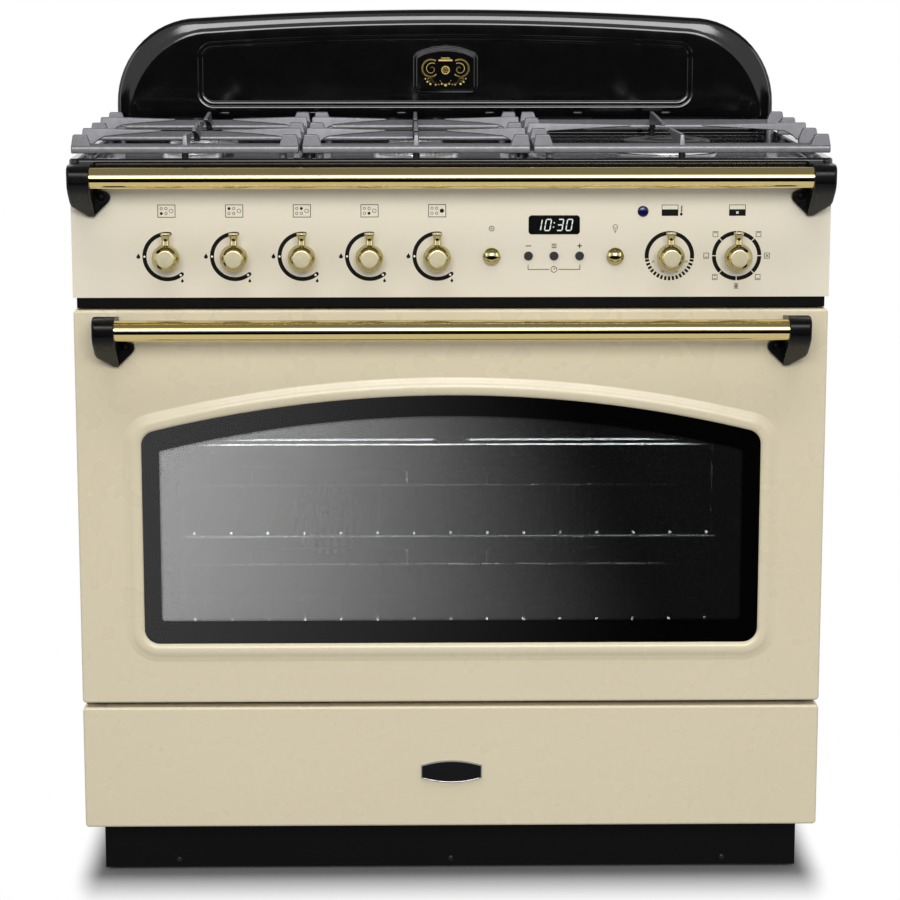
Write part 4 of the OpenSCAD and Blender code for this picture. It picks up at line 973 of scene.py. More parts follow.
knob_back, ball_r, ball_depth = -5, 16.5, -20
for name, x, node in ([(f"knob_{n}", gas_x[n - 1], f"gas_knob_{n}") for n in range(1, 6)]
                      + [("temperature", temperature_x, "temperature_knob"),
                         ("function", function_x, "function_knob")]):
    profile = [(10.3, -32.9)]
    for k in range(25):
        lean = math.radians(41 + 97 * k / 24)
        profile.append((ball_r * math.sin(lean), ball_depth - ball_r * math.cos(lean)))
    end = depth_of(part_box(node)[1].y)
    profile += [(11, -7.4), (11, -5.5), (10.5, knob_back)]
    profile += [(3, knob_back), (3, end - 0.6), (2.5, end),
                (0, end)] if end > knob_back + 1 else [(0, knob_back)]
    ball = turned(profile, at(x, 0, knob_z))
    flare = [(0, 11), (5.3, 11.5), (4.85, 16), (4.4, 20), (4.2, 21.6), (4.35, 22.8), (4.75, 24.4), (5.35, 26),
             (5.85, 27.1),
             (6, 27.6), (6, 28.9), (5.75, 29.35), (5.3, 29.5), (0, 29.5)]
    pointer = turned(flare, at(x, ball_depth, knob_z), "z", 40)
    place_mesh(f"{node}_turned", mesh_of(joined([ball, pointer]), "knob"), brass_painted_shade, name, node)
    face = turned([(0, -33.0), (9.5, -33.0), (10.05, -32.96), (10.3, -32.8), (10.3, -32.6), (0, -32.6)],
                  at(x, 0, knob_z))
    place_mesh(f"{node}_face", mesh_of(face, "face"), satin_brass_painted_sheen, name)


# The two large push buttons: domed brass caps on a thin brim. The three clock buttons are black plastic,
# the clock's window is smoked acrylic over slanted numeral segments, and the oven lamp's lens is dark blue.
# The caps share the knobs' brass, painted darker for shade.
for name, node in (("ignition", "ignition_button"), ("light", "light_button")):
    low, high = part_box(node)
    x, front, end, brim = (low.x + high.x) * 500, depth_of(low.y), depth_of(high.y), (high.x - low.x) * 500
    foot, bulge = brim - 0.4, 4.5
    dome = (foot ** 2 + bulge ** 2) / (2 * bulge)
    most = math.asin(foot / dome)
    profile = [(0, front)] + [(dome * math.sin(most * k / 14), front + dome * (1 - math.cos(most * k / 14)))
                              for k in range(1, 15)]
    rim_depth = front + bulge
    profile += [(brim - 0.1, rim_depth + 0.1), (brim, rim_depth + 0.3), (brim, rim_depth + 0.9),
                (brim - 0.3, rim_depth + 1.2),
                (6, rim_depth + 1.2), (6, end - 0.5), (5.5, end), (0, end)]
    place_mesh(f"{node}_domed", mesh_of(turned(profile, at(x, 0, knob_z)), "button"), brass_painted_shade, name,
               node)

moulded_black, tree, shader = material("black button plastic")
tinted(tree, shader, grain(tree, 4), "0C0C0C", "131313")
uneven(tree, shader, grain(tree, 1), "Roughness", 0.38, 0.5)
for name, node in (("minus", "minus_button"), ("mode", "mode_button"), ("plus", "plus_button")):
    rounded_copy(node, f"{node}_moulded", moulded_black, name, 0.5, limit=40)

smoked, tree, shader = material("smoked display acrylic", IOR=1.49)
tinted(tree, shader, grain(tree, 30), "040405", "060607")
uneven(tree, shader, grain(tree, 30), "Roughness", 0.12, 0.2)
rounded_copy("clock_display", "clock_window", smoked, "chassis", 0.4, limit=40)
segments = {"1": "bc", "0": "abcdef", "3": "abgcd"}
seg_w, seg_h, seg_t = 6.2, 13.2, 1.35
lit = []
for digit, middle in (("1", -18.4), ("0", -7.4), ("3", 7.1), ("0", 17.9)):
    w, h, gap = seg_w / 2, seg_h / 2, 0.5
    lines = {"a": ((-w + gap, h), (w - gap, h)), "b": ((w, h - gap), (w, gap)),
             "c": ((w, -gap), (w, -h + gap)),
             "d": ((-w + gap, -h), (w - gap, -h)), "e": ((-w, -gap), (-w, -h + gap)),
             "f": ((-w, h - gap), (-w, gap)),
             "g": ((-w + gap, 0), (w - gap, 0))}
    for part in segments[digit]:
        (x0, z0), (x1, z1) = lines[part]
        lit += stroke([(clock_x + middle + x0 + z0 * 0.17, 815 + z0),
                       (clock_x + middle + x1 + z1 * 0.17, 815 + z1)], seg_t)
lit += [disc(clock_x - 0.5 + dz * 0.17, 815 + dz, 0.85, 16) for dz in (-2.6, 2.6)]
digits, tree, shader = material("lit numeral segments", Roughness=0.4)
tinted(tree, shader, grain(tree, 3), "B4B8B4", "C6CAC4")
uneven(tree, shader, grain(tree, 2), "Emission Strength", 0.30, 0.42)
shader.inputs["Emission Color"].default_value = srgb("DDE2DA")
inked("clock_numerals", lit, digits, depth=-0.6, thick=0.03)

lens, tree, shader = material("dark blue lamp lens", IOR=1.49)
tinted(tree, shader, grain(tree, 5), "05083A", "0A1150")
uneven(tree, shader, grain(tree, 2), "Roughness", 0.12, 0.2)
lamp_low, lamp_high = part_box("indicator_lamp")
lamp_x, lamp_z, lamp_r = (lamp_low.x + lamp_high.x) * 500, (lamp_low.z + lamp_high.z) * 500, (lamp_high.x
        - lamp_low.x) * 500
profile = [(0, -2.2), (lamp_r - 4, -2.05), (lamp_r - 2.2, -1.75), (lamp_r - 1.0, -1.25), (lamp_r - 0.9, -1.1),
           (lamp_r - 0.3, -1.05),
           (lamp_r, -0.75), (lamp_r, 0), (lamp_r - 2, 0), (lamp_r - 2, 14), (0, 14)]
place_mesh("lamp_lens_domed", mesh_of(turned(profile, at(lamp_x, 0, lamp_z), sides=48), "lens"), lens,
           "chassis", "indicator_lamp")


# The hob: one pressed tray of steel in black stove enamel, with a rolled rim round a shallow well.
# Its floor has a hole under each burner, and the pan supports stand on it.
def fill_flat(work, rings):
    """Fills the flat area between an outer ring of points and one or more inner ones that the mesh already has."""
    edges = set()
    for ring in rings:
        spots = {point.to_tuple(6) for point in ring}
        row = {vert for vert in work.verts if vert.co.to_tuple(6) in spots}
        edges |= {edge for vert in row for edge in vert.link_edges if edge.other_vert(vert) in row
                  and len(edge.link_faces) < 2}
    bmesh.ops.triangle_fill(work, use_beauty=True, use_dissolve=False, edges=list(edges))


tray_low, tray_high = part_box("hob_tray")
tray_half, tray_front, tray_rear = tray_high.x * 1000, depth_of(tray_low.y), depth_of(tray_high.y)
rim_top, tray_foot, floor_top = tray_high.z * 1000, tray_low.z * 1000, tray_high.z * 1000 - 9
well_half, well_front, well_rear = tray_half - 14, tray_front + 14, 514


def plan_ring(half, front, rear, corner, inset, z, rear_corner=None):
    """A level ring round a plan with round corners, drawn in by an inset."""
    ring = []
    for sx, back, start in ((1, 0, -90), (1, 1, 0), (-1, 1, 90), (-1, 0, 180)):
        wide = rear_corner if back and rear_corner is not None else corner
        radius = max(wide - inset, 0.05)
        cx, cy = sx * (half - max(wide, inset + 0.05)), (rear - max(wide, inset + 0.05) if back
                                                         else front + max(wide, inset + 0.05))
        for k in range(9):
            angle = math.radians(start + 90 * k / 8)
            ring.append(at(cx + radius * math.cos(angle), cy + radius * math.sin(angle), z))
    return ring


rounding = 3.2
outer = [plan_ring(tray_half, tray_front, tray_rear, 14, 0, tray_foot, 4),
         plan_ring(tray_half, tray_front, tray_rear, 14, 0, rim_top - rounding, 4)]
for k in range(1, 7):
    lean = math.radians(15 * k)
    outer.append(plan_ring(tray_half, tray_front, tray_rear, 14, rounding * (1 - math.cos(lean)),
                           rim_top - rounding * (1 - math.sin(lean)), 4))
inner = []
for k in range(7):
    lean = math.radians(15 * k)
    inner.append(plan_ring(well_half, well_front, well_rear, 14, -2.5 + 2.5 * math.sin(lean),
                           rim_top - 2.5 * (1 - math.cos(lean))))
for k in range(7):
    lean = math.radians(15 * k)
    inner.append(plan_ring(well_half, well_front, well_rear, 14, 2.5 * (1 - math.cos(lean)),
                           floor_top + 2.5 * (1 - math.sin(lean))))
burners = [(-314, 114.1, 36), (-314, 320.5, 45), (-41.5, 114.1, 53), (-41.5, 320.5, 36), (272.5, 204.4, 63)]
STEM = 0.55
holes = [[at(x + (radius * STEM + 1) * math.cos(math.radians(10 * k)),
             depth + (radius * STEM + 1) * math.sin(math.radians(10 * k)), floor_top)
          for k in range(36)] for x, depth, radius in burners]
lips = [skin([hole, [point - Vector((0, 0, mm(1.4))) for point in hole]]) for hole in holes]
tray = joined([skin(outer), skin(inner)] + lips)
fill_flat(tray, [outer[-1], inner[0]])
fill_flat(tray, [inner[-1]] + holes)
bmesh.ops.remove_doubles(tray, verts=tray.verts, dist=mm(0.001))
bmesh.ops.recalc_face_normals(tray, faces=tray.faces)
tray = applied(mesh_of(faced(tray, (0, 0, 1)), "tray"), ("SOLIDIFY", {"thickness": mm(1.3), "offset": -1.0}))
place_mesh("hob_tray_pressed", tray, gloss_black, "chassis", "hob_tray")


# The burners: a die-cast aluminium base whose crown is cut into teeth, the flame ports between them, under
# a cap of pressed steel in matt black enamel. The large one at the right has an outer ring and a centre.
cast_aluminium, tree, shader = material("die-cast aluminium", Metallic=1.0)
tinted(tree, shader, grain(tree, 14), "CFD0D1", "DFE0E1")
uneven(tree, shader, grain(tree, 4), "Roughness", 0.26, 0.4)
relief(tree, shader, grain(tree, 0.8), 0.02, 0.3)
cap_enamel, tree, shader = material("matt black cap enamel", IOR=1.5)
tinted(tree, shader, grain(tree, 10), "101010", "1A1A1B")
uneven(tree, shader, grain(tree, 5), "Roughness", 0.38, 0.5)
relief(tree, shader, grain(tree, 1.2), 0.02, 0.35)

base_low, base_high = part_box("burner_bases")
cap_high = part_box("burner_caps")[1].z * 1000
deck = base_high.z * 1000
teeth_foot = deck - 4.5


def crown(x, depth, outer, inner, teeth, low, high):
    """A ring of teeth, cut from a crown wall between two radii."""
    share = 2 * math.pi / teeth * 0.32
    rings = []
    for z in (low, high - 0.3, high):
        ease = 0.3 if z == high else 0
        rings.append([at(x + r * math.cos(a), depth + r * math.sin(a), z) for r, a in (
            (inner + ease, -share), (outer - ease, -share), (outer - ease, 0), (outer - ease, share),
            (inner + ease, share))])
    tooth = mesh_of(skin(rings, True, True), "tooth")
    return repeated(tooth, teeth, cast_aluminium, turn=2 * math.pi / teeth, axis=(0, 0, 1),
                    centre=tuple(at(x, depth, 0)))


for number, (x, depth, radius) in enumerate(burners, 1):
    wall = radius * 0.82
    foot = [(0, base_low.z * 1000), (radius * STEM - 1, base_low.z * 1000),
            (radius * STEM, base_low.z * 1000 + 1), (radius * STEM, floor_top)]
    body = foot + [(radius - 0.6, floor_top), (radius, floor_top + 0.6), (radius - 0.1, floor_top + 1.4),
                   (radius - 1.6, teeth_foot - 1.6),
                   (radius - 2.4, teeth_foot - 0.9), (wall + 1.5, teeth_foot - 0.6), (wall, teeth_foot - 0.2),
                   (wall, teeth_foot)]
    if number < 5:
        body += [(wall - 5, teeth_foot), (wall - 5, deck), (0, deck)]
    else:
        body += [(wall - 5, teeth_foot), (wall - 5, deck), (radius * 0.52, deck), (radius * 0.5, deck - 4),
                 (radius * 0.34, deck - 4), (radius * 0.3, deck), (0, deck)]
    place_mesh(f"burner_{number}_base", mesh_of(turned(body, at(x, depth, 0), "z", 72), "base"),
               cast_aluminium, "chassis", *(["burner_bases"] if number == 1 else []))
    place_mesh(f"burner_{number}_crown",
               crown(x, depth, wall, wall - 4.6, round(wall * 0.95), teeth_foot, deck), cast_aluminium,
               "chassis")
    top = radius * 0.86
    if number < 5:
        cap = [(0, deck), (top - 1.4, deck), (top - 0.4, deck + 0.5), (top, deck + 1.4),
               (top - 0.15, deck + 2.6), (top - 0.9, deck + 3.5),
               (top - 2.4, deck + 4), (radius * 0.76, deck + 4.3), (radius * 0.72, deck + 5),
               (radius * 0.66, deck + 5.5),
               (radius * 0.4, deck + 5.85), (0, cap_high)]
        whole = turned(cap, at(x, depth, 0), "z", 72)
    else:
        low_r = radius * 0.5
        ring = [(low_r, deck), (top - 1.4, deck), (top - 0.4, deck + 0.5), (top, deck + 1.4),
                (top - 0.3, deck + 3), (top - 2, deck + 4.3),
                (top - 6, deck + 5), (low_r + 5, deck + 5), (low_r + 1.5, deck + 4.4),
                (low_r + 0.2, deck + 3), (low_r, deck + 1.5), (low_r, deck)]
        disc_r = radius * 0.3
        middle = [(0, deck), (disc_r - 1, deck), (disc_r, deck + 1), (disc_r, deck + 4),
                  (disc_r - 1, deck + 5.2), (disc_r - 4, deck + 5.8), (0, cap_high)]
        whole = joined([turned(ring, at(x, depth, 0), "z", 72), turned(middle, at(x, depth, 0), "z", 48)])
    place_mesh(f"burner_{number}_cap", mesh_of(whole, "cap"), cap_enamel, "chassis",
               *(["burner_caps"] if number == 1 else []))


# The pan supports: three sand-cast iron grids in satin grey-black enamel. The casting keeps a fine sandy grain
# and soft edges.
cast_iron, tree, shader = material("enamelled cast iron", Metallic=0.7)
tinted(tree, shader, grain(tree, 9), "6C6C6F", "7E7E82")
uneven(tree, shader, grain(tree, 3), "Roughness", 0.34, 0.44)
relief(tree, shader, grain(tree, 1.1, 3.0), 0.05, 0.45)
foot_black, tree, shader = material("black rubber foot", IOR=1.5, Specular_IOR_Level=0.3)
tinted(tree, shader, grain(tree, 4), "0A0A0A", "121212")
uneven(tree, shader, grain(tree, 2), "Roughness", 0.6, 0.75)


def softened(outline, radius):
    """The outline with each corner cut to a small curve."""
    spots = []
    for before, spot, after in zip(outline[-1:] + outline, outline, outline[1:] + outline[:1]):
        middle = Vector(spot)
        ends = []
        for other in (before, after):
            way = Vector(other) - middle
            ends.append(middle + way.normalized() * min(radius, way.length * 0.45))
        spots += [ends[0], (ends[0] + ends[1] + middle * 2) / 4, ends[1]]
    return spots


def drawn_in(spots, inset):
    """A closed outline moved inwards by an inset."""
    area = sum(a.x * b.y - b.x * a.y for a, b in zip(spots, spots[1:] + spots[:1]))
    side = 1 if area > 0 else -1
    moved = []
    for before, spot, after in zip(spots[-1:] + spots, spots, spots[1:] + spots[:1]):
        a, b = (spot - before).normalized(), (after - spot).normalized()
        lean = Vector((-(a.y + b.y), a.x + b.x)) * side
        moved.append(spot + lean.normalized() * inset / max(lean.length / 2, 0.5))
    return moved


def cast_plate(outline, thick, place, soft=1.1, draft=0.0):
    """A cast plate with soft edges. place(u, z, w) puts a point of its side view, w to one side of its middle."""
    spots = softened([tuple(spot) for spot in outline], 1.6)
    rings = []
    for share, inset in ((-1, soft), (-1, soft * 0.3), (-1, 0), (1, 0), (1, soft * 0.3), (1, soft)):
        away = thick / 2 - (0 if inset == soft else soft * 0.3 if inset else soft)
        rings.append([place(u, z, share * away * (1 - draft * (z - support_foot) / 22)) for u,
                      z in drawn_in(spots, inset)])
    return skin(rings, True, True)


support_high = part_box("pan_support_left")[1]
support_foot, support_up = 900.0, support_high.z * 1000
bar_view = [(-4.5, support_foot), (4.5, support_foot), (4.5, 907.2), (1.6, 911.4), (-1.6, 911.4),
            (-4.5, 907.2)]
roof_view = [(-6.4, support_foot), (6.4, support_foot), (6.4, 904.6), (0.7, 911.6), (-0.7, 911.6),
             (-6.4, 904.6)]
tab_view = [(0, support_foot), (0.2, 909), (2.4, support_up), (18.4, support_up), (23.2, 909),
            (24, support_foot)]


def blade_view(length, root=20, tip=2.4):
    """The side view of a finger: full height at its root, then an arm that thins from below to its tip."""
    return [(0, support_foot), (0.6, 912), (1.6, support_up), (root - 2, support_up),
            (length, support_up - tip), (length, support_up - tip - 2.2),
            (length * 0.55, support_up - 7.6), (root + 8, support_up - 10.2), (root + 1, support_up - 14),
            (root - 5, support_up - 19), (root - 8, support_foot)]


for side, body in (("left", "support_left"), ("middle", "support_middle"), ("right", "support_right")):
    low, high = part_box(f"pan_support_{side}")
    x0, x1 = low.x * 1000, high.x * 1000
    y0, y1 = depth_of(low.y), depth_of(high.y)
    middle = (x0 + x1) / 2
    own = [burner for burner in burners if x0 < burner[0] < x1]
    works, feet = [], []
    cross = [y0 + 4.5, y1 - 4.5] + ([(y0 + y1) / 2] if len(own) > 1 else [])
    for depth in cross:
        view = bar_view if depth == cross[0] else roof_view
        works.append(cast_plate(view, x1 - x0, lambda u, z, w, d=depth: at(middle + w, min(d + u, y1), z),
                                1.6))
    for x in (x0 + 4.9, x1 - 4.9):
        works.append(cast_plate(bar_view, y1 - y0 - 3.6, lambda u, z, w, x=x: at(x + u, (y0 + y1) / 2 + w, z),
                                1.6))
    reach = [97.0] if len(own) > 1 else [(x1 - x0) / 2 - 45]
    tabs = [y0 + 6, y1 - 6] + ([(y0 + y1) / 2] if len(own) > 1 else [own[0][1] - 97, own[0][1] + 97])
    for edge, inward in ((x0, 1), (x1, -1)):
        for depth in tabs:
            works.append(cast_plate(tab_view, 10, lambda u, z, w, d=depth: at(edge + inward * u, d + w, z),
                                    1.2, 0.12))
        for burner in own:
            works.append(cast_plate(blade_view(reach[0]), 8, lambda u, z, w,
                                    d=burner[1]: at(edge + inward * u, d + w, z), 1.1, 0.3))
        for depth in (y0 + 20, y1 - 20):
            leg = [(5.0, floor_top), (5.0, 901.5), (4.0, 903.5), (0, 903.5)]
            works.append(turned([(0, floor_top)] + leg, at(edge + inward * 20, depth, 0), "z", 20))
            works.append(cast_plate([(0, support_foot), (0, 905), (25, 904), (25, support_foot)], 10,
                                    lambda u, z, w, d=depth: at(edge + inward * (u + 1), d + w, z), 1.0))
    rows = sorted(own, key=lambda burner: burner[1])
    starts = [(y0 + 1, 1, rows[0]), (y1 - 1, -1, rows[-1])]
    if len(own) > 1:
        starts += [((y0 + y1) / 2 - 3.5, -1, rows[0]), ((y0 + y1) / 2 + 3.5, 1, rows[-1])]
    for start, way, burner in starts:
        length = abs(burner[1] - start) - (30 if len(own) > 1 else 45)
        fin = [(0, support_foot), (0.6, 912), (1.4, support_up), (13, support_up), (length, support_up - 3.4),
               (length, support_up - 7),
               (length * 0.5, support_up - 12), (20, support_up - 16), (14, support_foot)]
        works.append(cast_plate(fin, 8.4, lambda u, z, w: at(middle + w, start + way * u, z), 1.1, 0.5))
    for depth in (y0 + 5.5, y1 - 5.5):
        pad = turned([(0, floor_top), (3.6, floor_top), (4.0, floor_top + 0.6), (4.0, 900.6), (0, 900.6)],
                     at(middle, depth, 0), "z", 20)
        feet.append(pad)
    whole = joined(works)
    bmesh.ops.recalc_face_normals(whole, faces=whole.faces)
    place_mesh(f"pan_support_{side}_cast", mesh_of(whole, "support"), cast_iron, body, f"pan_support_{side}",
               angle=46)
    place_mesh(f"pan_support_{side}_feet", mesh_of(joined(feet), "feet"), foot_black, body)


# The splashback: one steel pressing in black stove enamel that rolls over at its edge. A panel steps back
# twice in its middle, and on it an arched plate steps forward, with a scroll in gold print and no words.
splash_low, splash_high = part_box("splashback")
splash_half, splash_foot, splash_top = splash_high.x * 1000, splash_low.z * 1000, splash_high.z * 1000
splash_face = depth_of(splash_low.y)


def splash_ring(inset, depth, foot=0.0):
    """The splashback's outline drawn in by an inset: upright sides, wide shoulders and a gently arched top."""
    half, wide, tall, rise = splash_half - inset, 112, 115, 11
    x1, top = half - wide, splash_top - inset
    big = (x1 ** 2 + rise ** 2) / (2 * rise)
    lean = math.asin(x1 / big)
    spots = [(half, splash_foot + foot)]
    shoulder = [(x1 + wide * math.cos(math.radians(6 * k)),
                 top - rise - tall + tall * math.sin(math.radians(6 * k))) for k in range(16)]
    spots += shoulder
    spots += [(big * math.sin(lean * (1 - k / 15)), top - big + big * math.cos(lean * (1 - k / 15)))
              for k in range(1, 30)]
    spots += [(-x, z) for x, z in shoulder[::-1]] + [(-half, splash_foot + foot)]
    return [at(x, depth, z) for x, z in spots]


def arched_ring(grow, depth, half, foot, top, rise, corner, steps=36):
    """A panel's outline grown by a distance, with a flat foot, upright sides, round corners and an arched top."""
    big = (half ** 2 + rise ** 2) / (2 * rise) + grow
    middle, half, foot = top - big + grow, half + grow, foot - grow
    corner = max(corner + grow, 1)
    x = half - corner
    z = middle + math.sqrt((big - corner) ** 2 - x ** 2)
    lean = math.atan2(z - middle, x)
    spots = []
    for cx, cz, radius, first, last, count in (
            (x, foot + corner, corner, -math.pi / 2, 0, 8), (x, z, corner, 0, lean, 8),
            (0, middle, big, lean, math.pi - lean, steps),
            (-x, z, corner, math.pi - lean, math.pi, 8),
            (-x, foot + corner, corner, math.pi, 1.5 * math.pi, 8)):
        for k in range(count + 1):
            angle = first + (last - first) * k / count
            spots.append(at(cx + radius * math.cos(angle), depth, cz + radius * math.sin(angle)))
    return spots


rim = [(0, 38, 0), (0, 8.2, 0), (0.5, 6.2, 0), (1.8, 4.6, 0), (4.5, 3.4, 0), (9, 2.4, 0), (13, 1.75, 0),
       (15.2, 1.2, 1), (17, 0.6, 2.5),
       (18.6, 0.15, 4.5), (20.4, 0, 6.5)]
rim_rings = [splash_ring(inset, splash_face + depth, foot) for inset, depth, foot in rim]
step = [(6.4, 0), (4.7, 0), (4.5, 0.02), (4.2, 0.08), (2.9, 0.36), (2.6, 0.5), (2.3, 0.85), (2.05, 1.0),
        (1.7, 1.0), (-1.4, 1.0), (-1.6, 1.02),
        (-1.9, 1.08), (-3.3, 1.38), (-3.6, 1.52), (-3.9, 2.05), (-4.2, 2.25), (-4.6, 2.25), (-6, 2.25)]
panel = {"half": 333, "foot": 926, "top": 1015.5, "rise": 10.5, "corner": 18}
panel_rings = [arched_ring(grow, splash_face + depth, **panel) for grow, depth in step]
plate_step = [(2.8, 2.25), (2.2, 2.13), (1.7, 1.7), (1.2, 1.3), (0.6, 1.2), (-1.4, 1.15), (-2.0, 1.05),
              (-2.5, 0.65), (-3.0, 0.25), (-3.6, 0.15)]
plate = {"half": 41.5, "foot": 942.5, "top": 1001.5, "rise": 10, "corner": 7, "steps": 20}
plate_rings = [arched_ring(grow, splash_face + depth, **plate) for grow, depth in plate_step]
whole = joined([skin(rim_rings), skin(panel_rings), skin(plate_rings)])
fill_flat(whole, [rim_rings[-1], panel_rings[0]])
fill_flat(whole, [panel_rings[-1], plate_rings[0]])
fill_flat(whole, [plate_rings[-1]])
bmesh.ops.remove_doubles(whole, verts=whole.verts, dist=mm(0.001))
bmesh.ops.recalc_face_normals(whole, faces=whole.faces)
pressing = applied(mesh_of(faced(whole, (0, -1, 0)), "splashback"),
                   ("SOLIDIFY", {"thickness": mm(1.3), "offset": -1.0}))
place_mesh("splashback_pressed", pressing, gloss_black, "chassis", "splashback", angle=50)

# Six small oblong pips are pressed out along its foot.
pip_half, pip_radius, pip_height = 6.6, 2.2, 914
pips = []
for x in (-300, -180, -60, 60, 180, 300):
    rings = []
    for size, depth in ((1.0, 0.2), (0.97, -0.25), (0.86, -0.6), (0.64, -0.85), (0.3, -1.0)):
        a, b = pip_half - pip_radius * (1 - size), pip_radius * size
        straight = a - pip_radius
        rings.append([at(x + math.copysign(straight, math.cos(w)) + b * math.cos(w), splash_face + depth,
                         pip_height + b * math.sin(w))
                      for w in [math.radians(15 * k + 7.5) for k in range(24)]])
    pips.append(skin(rings, False, True))
place_mesh("splashback_pips", mesh_of(joined(pips), "pips"), gloss_black, "chassis", angle=60)

gold_print, tree, shader = material("gold screen print", Metallic=0.7)
tinted(tree, shader, grain(tree, 3), "A8914F", "C4AC66")
uneven(tree, shader, grain(tree, 1.5), "Roughness", 0.35, 0.5)


def spiral(x, z, first_r, last_r, first, last, side=1, steps=26):
    """Points along a spiral whose radius runs from one value to another, with its turns in degrees."""
    spots = []
    for k in range(steps + 1):
        t = k / steps
        radius, turn = first_r + (last_r - first_r) * t, math.radians(first + (last - first) * t)
        spots.append((x * side + side * radius * math.cos(turn), z + radius * math.sin(turn)))
    return spots


gold = []
for side in (1, -1):
    gold += stroke(spiral(20, 974, 12.5, 10.5, 118, -130, side), 1.9)
    gold += stroke(spiral(19, 973.5, 8.6, 2.0, 118, -300, side), 1.0)
    gold += stroke(spiral(7, 966, 13.5, 13.5, -12, -80, side), 1.7)
    gold += stroke(spiral(22, 958.5, 3.6, 1.0, 150, -150, side, 14), 0.9)
    gold += [disc(side * x, z, r, 14) for x, z,
             r in ((20.5, 953.4, 1.5), (24.6, 956.2, 1.2), (13.2, 952.6, 1.1), (27.4, 960.4, 0.9))]
gold += stroke([(-9.5, 985.2), (9.5, 985.2)], 2.2) + [bar_of(0, 988.2, 12, 1.0)]
gold += ring_part(0, 972, 5.6, 4.4, step=12) + [disc(0, 972, 1.9, 20)] + [
    [(0.9 * math.cos(t - 1.2) + 0, 972 + 0.9 * math.sin(t - 1.2)),
     (4.2 * math.cos(t), 972 + 4.2 * math.sin(t)),
     (0.9 * math.cos(t + 1.2), 972 + 0.9 * math.sin(t + 1.2))]
     for t in [math.radians(45 * k) for k in range(8)]]
gold += stroke(spiral(0, 962, 8.5, 8.5, -30, -150), 1.2) + [disc(0, 952.2, 2.1, 20), disc(5, 953.6, 1.2, 14),
                                                            disc(-5, 953.6, 1.2, 14)]
inked("plate_scroll", gold, gold_print, depth=splash_face + 0.15, thick=0.06)


# The two rails: drawn brass tube, polished and lacquered, whose ends sit in black cast brackets.
# Each bracket is held by one countersunk screw in its foot.
bracket_black, tree, shader = material("black enamelled casting", IOR=1.5, Specular_IOR_Level=0.18)
tinted(tree, shader, grain(tree, 14), "030304", "060607")
uneven(tree, shader, grain(tree, 6), "Roughness", 0.26, 0.34)
relief(tree, shader, grain(tree, 1.6), 0.015, 0.15)
rail_brass, tree, shader = material("drawn polished brass", Metallic=1.0)
tinted(tree, shader, grain(tree, 90, 1.0, (0.2, 1, 1)), "E2CC8A", "EAD698")
uneven(tree, shader, grain(tree, 30, 1.0, (0.1, 1, 1)), "Roughness", 0.06, 0.1)
for node, name, body in (("handrail", "handrail_tube", "chassis"),
                         ("door_handle", "door_handle_tube", "door")):
    low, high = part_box(node)
    middle, radius, end = (low + high) / 2, (high.z - low.z) * 500, high.x * 1000
    profile = [(radius - 1.5, -end), (radius - 0.3, -end), (radius, -end + 0.3), (radius, end - 0.3),
               (radius - 0.3, end), (radius - 1.5, end),
               (radius - 1.5, -end)]
    place_mesh(name, mesh_of(turned(profile, Vector((0, middle.y, middle.z)), "x", 128), "tube"), rail_brass,
               body, node)


def bracket_arm(x, inward, z, top, step):
    """An arm lofted through level sections. x is its outer side; its upper front is cut back more inside."""
    low = [(-49.0, -7.5), (-48.6, -8.6), (-47.4, -10.4), (-44, -15.4), (-40, -21.4), (-35, -29.2), (-30, -37),
           (-25, -44.6), (-20, -52),
           (-16, -57.6), (-12, -61.8), (-9, -64), (-6, -65.2)]
    outer_view = low + [(8.5, -65.7), (10.5, -65.1), (12.2, -63.4), (13.6, -60.4), (15, -56)]
    inner_view = low + [(-3.5, -65.7), (2.5, -65.7), (5, -65.1), (7, -64.2), (8.7, -62.6), (9.9, -60.4),
                        (11.2, -57.4), (13.2, -53), (15, -49)]
    levels = sorted({dz for dz, depth in outer_view + inner_view})
    if top < 15:
        levels = [(dz, 0.0) for dz in levels if dz <= top] + [(top, 0.0), (top, step)] + [(dz, step)
                for dz in levels if dz > top]
    else:
        levels = [(dz, -8 * max(0, dz - 10.5)) for dz in levels]
    rings = []
    for dz, back in levels:
        outer_y, inner_y = [next(b + (c - b) * (dz - a) / (d - a) for (a, b), (d, c) in zip(view, view[1:])
                                 if a <= dz <= d)
                            for view in (outer_view, inner_view)]
        outer = max(0, -34 - dz) * 1.2
        inner = max(26.0, outer + 8)
        r = min(3.4, (back - inner_y) / 2 - 0.2, (inner - outer) / 2 - 0.2)
        crisp = r if dz < -14 else min(r, 0.9)
        ring = []
        for cx, cy, own, first in ((inner - 0.4, back - 0.4, 0.4, 0), (outer + 0.4, back - 0.4, 0.4, 90),
                                   (outer + r, outer_y + r, r, 180),
                                   (inner - crisp, inner_y + crisp, crisp, 270)):
            for k in range(6):
                a = math.radians(first + 18 * k)
                ring.append(at(x + inward * (cx + own * math.cos(a)), cy + own * math.sin(a), z + dz))
        rings.append(ring)
    return skin(rings, True, True)


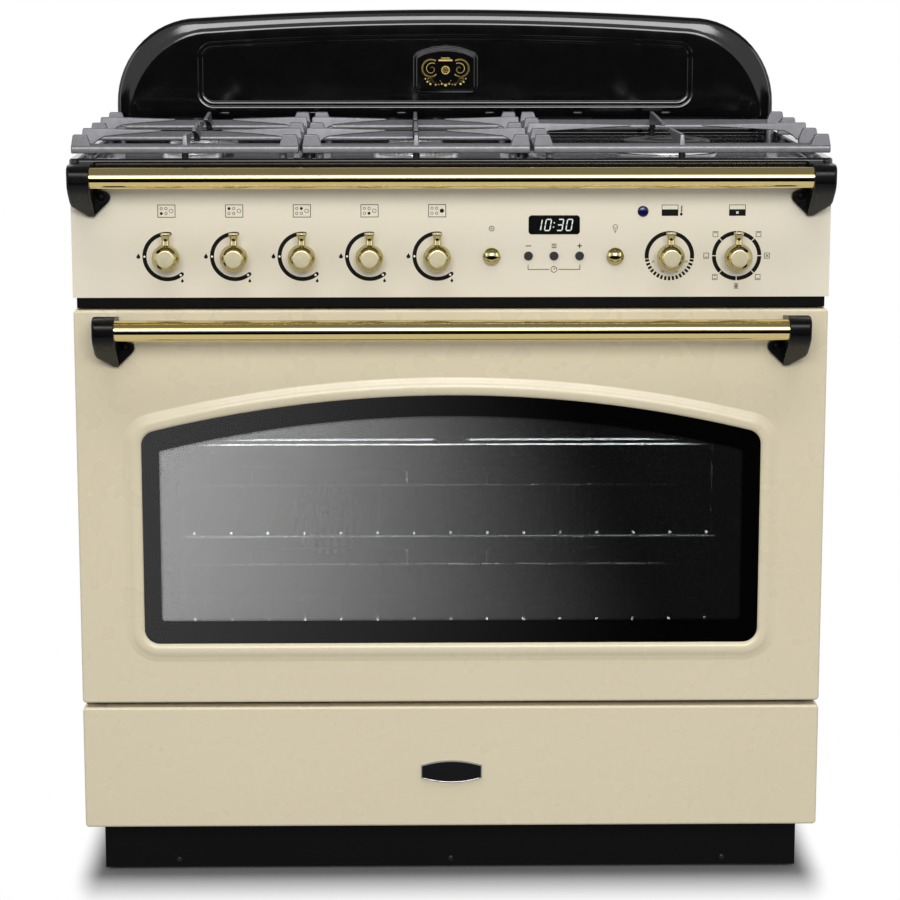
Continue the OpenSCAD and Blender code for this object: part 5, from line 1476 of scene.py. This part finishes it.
def bracket_foot(x, inward, z):
    """The foot's plate, cut to a slanting point, with a countersunk hole for its screw."""
    outline = [(0.2, 2), (0.2, -34), (17, -48.4), (18.4, -49), (24, -49), (25.6, -48.4), (41.3, -33.2),
               (43.6, -30), (44.6, -26.6), (44, -23.2),
               (41.6, -20.6), (36, -18.4), (26, -14), (26, 2)]
    cx, cz = sum(a for a, b in outline) / len(outline), sum(b for a, b in outline) / len(outline)
    rings = []
    for depth, inset in ((-0.02, 0), (-6.2, 0), (-7.2, 0.35), (-7.8, 0.9), (-8, 1.7)):
        ring = []
        for a, b in outline:
            far = math.hypot(a - cx, b - cz)
            ring.append(at(x + inward * (a - (a - cx) / far * inset), depth, z + b - (b - cz) / far * inset))
        rings.append(ring)
    hole = [(5.5, -8), (5.5, -4), (2.7, -4), (2.7, -0.02)]
    bore = [[at(x + inward * (33 + r * math.cos(math.pi * k / 14)), depth,
                z - 26 + r * math.sin(math.pi * k / 14)) for k in range(28)]
            for r, depth in hole]
    plate = joined([skin(rings), skin(bore)])
    fill_flat(plate, [rings[-1], bore[0]])
    fill_flat(plate, [rings[0], bore[-1]])
    bmesh.ops.remove_doubles(plate, verts=plate.verts, dist=mm(0.001))
    bmesh.ops.recalc_face_normals(plate, faces=plate.faces)
    return plate


screw = turned([(0, -6.0), (0.9, -6.0), (1.2, -5.2), (1.5, -6.0), (3.4, -5.7), (4.8, -5.0), (5.0, -4.5),
                (2.5, -3.0), (2.5, 2), (0, 2)],
               Vector((0, 0, 0)), sides=32)
head = mesh_of(screw, "screw")
tray_lip = (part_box("hob_tray")[0].y - face_y) * 1000 - 0.4
for node, body, z, top in (("handrail_brackets", "chassis", 875, 7.7),
                           ("door_handle_brackets", "door", 696, 15)):
    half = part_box(node)[1].x * 1000
    works = []
    for x, inward in ((half, -1), (-half, 1)):
        works += [bracket_arm(x, inward, z, top, tray_lip), bracket_foot(x, inward, z)]
    cast = joined(works)
    bmesh.ops.recalc_face_normals(cast, faces=cast.faces)
    place_mesh(f"{node}_cast", mesh_of(cast, "brackets"), bracket_black, body, node, angle=34)
    moved = head.copy()
    moved.transform(Matrix.Translation(at(33 - half, 0.8, z - 26)))
    place_mesh(f"{node}_screws", repeated(moved, 2, screw_black, step=(mm(2 * half - 66), 0, 0)), screw_black,
               body)


# What lies inside: the zinc-plated gas manifold and hinges, brass taps and steel spindles, brown-black
# thermoset bodies of the oven's controls, and galvanised fan motors and impellers.
zinc_plate, tree, shader = material("bright zinc-plated steel", Metallic=0.95)
tinted(tree, shader, grain(tree, 16), "A7ABAD", "C0C3C4")
uneven(tree, shader, grain(tree, 5), "Roughness", 0.28, 0.4)
tap_brass, tree, shader = material("sand-blasted tap brass", Metallic=0.95)
tinted(tree, shader, grain(tree, 9), "A88B4C", "C0A362")
uneven(tree, shader, grain(tree, 3), "Roughness", 0.34, 0.5)
thermoset, tree, shader = material("brown-black thermoset", IOR=1.55)
tinted(tree, shader, grain(tree, 10), "171311", "221C19")
uneven(tree, shader, grain(tree, 4), "Roughness", 0.32, 0.45)
paint(zinc_plate, "gas_manifold", "hinge_arms", "hinge_brackets", *[f"gas_spindle_{n}" for n in range(1, 6)])
paint(tap_brass, "gas_taps")
paint(thermoset, "oven_controls")
paint(zinc, "fan_motors", "fan_impeller_left", "fan_impeller_right")
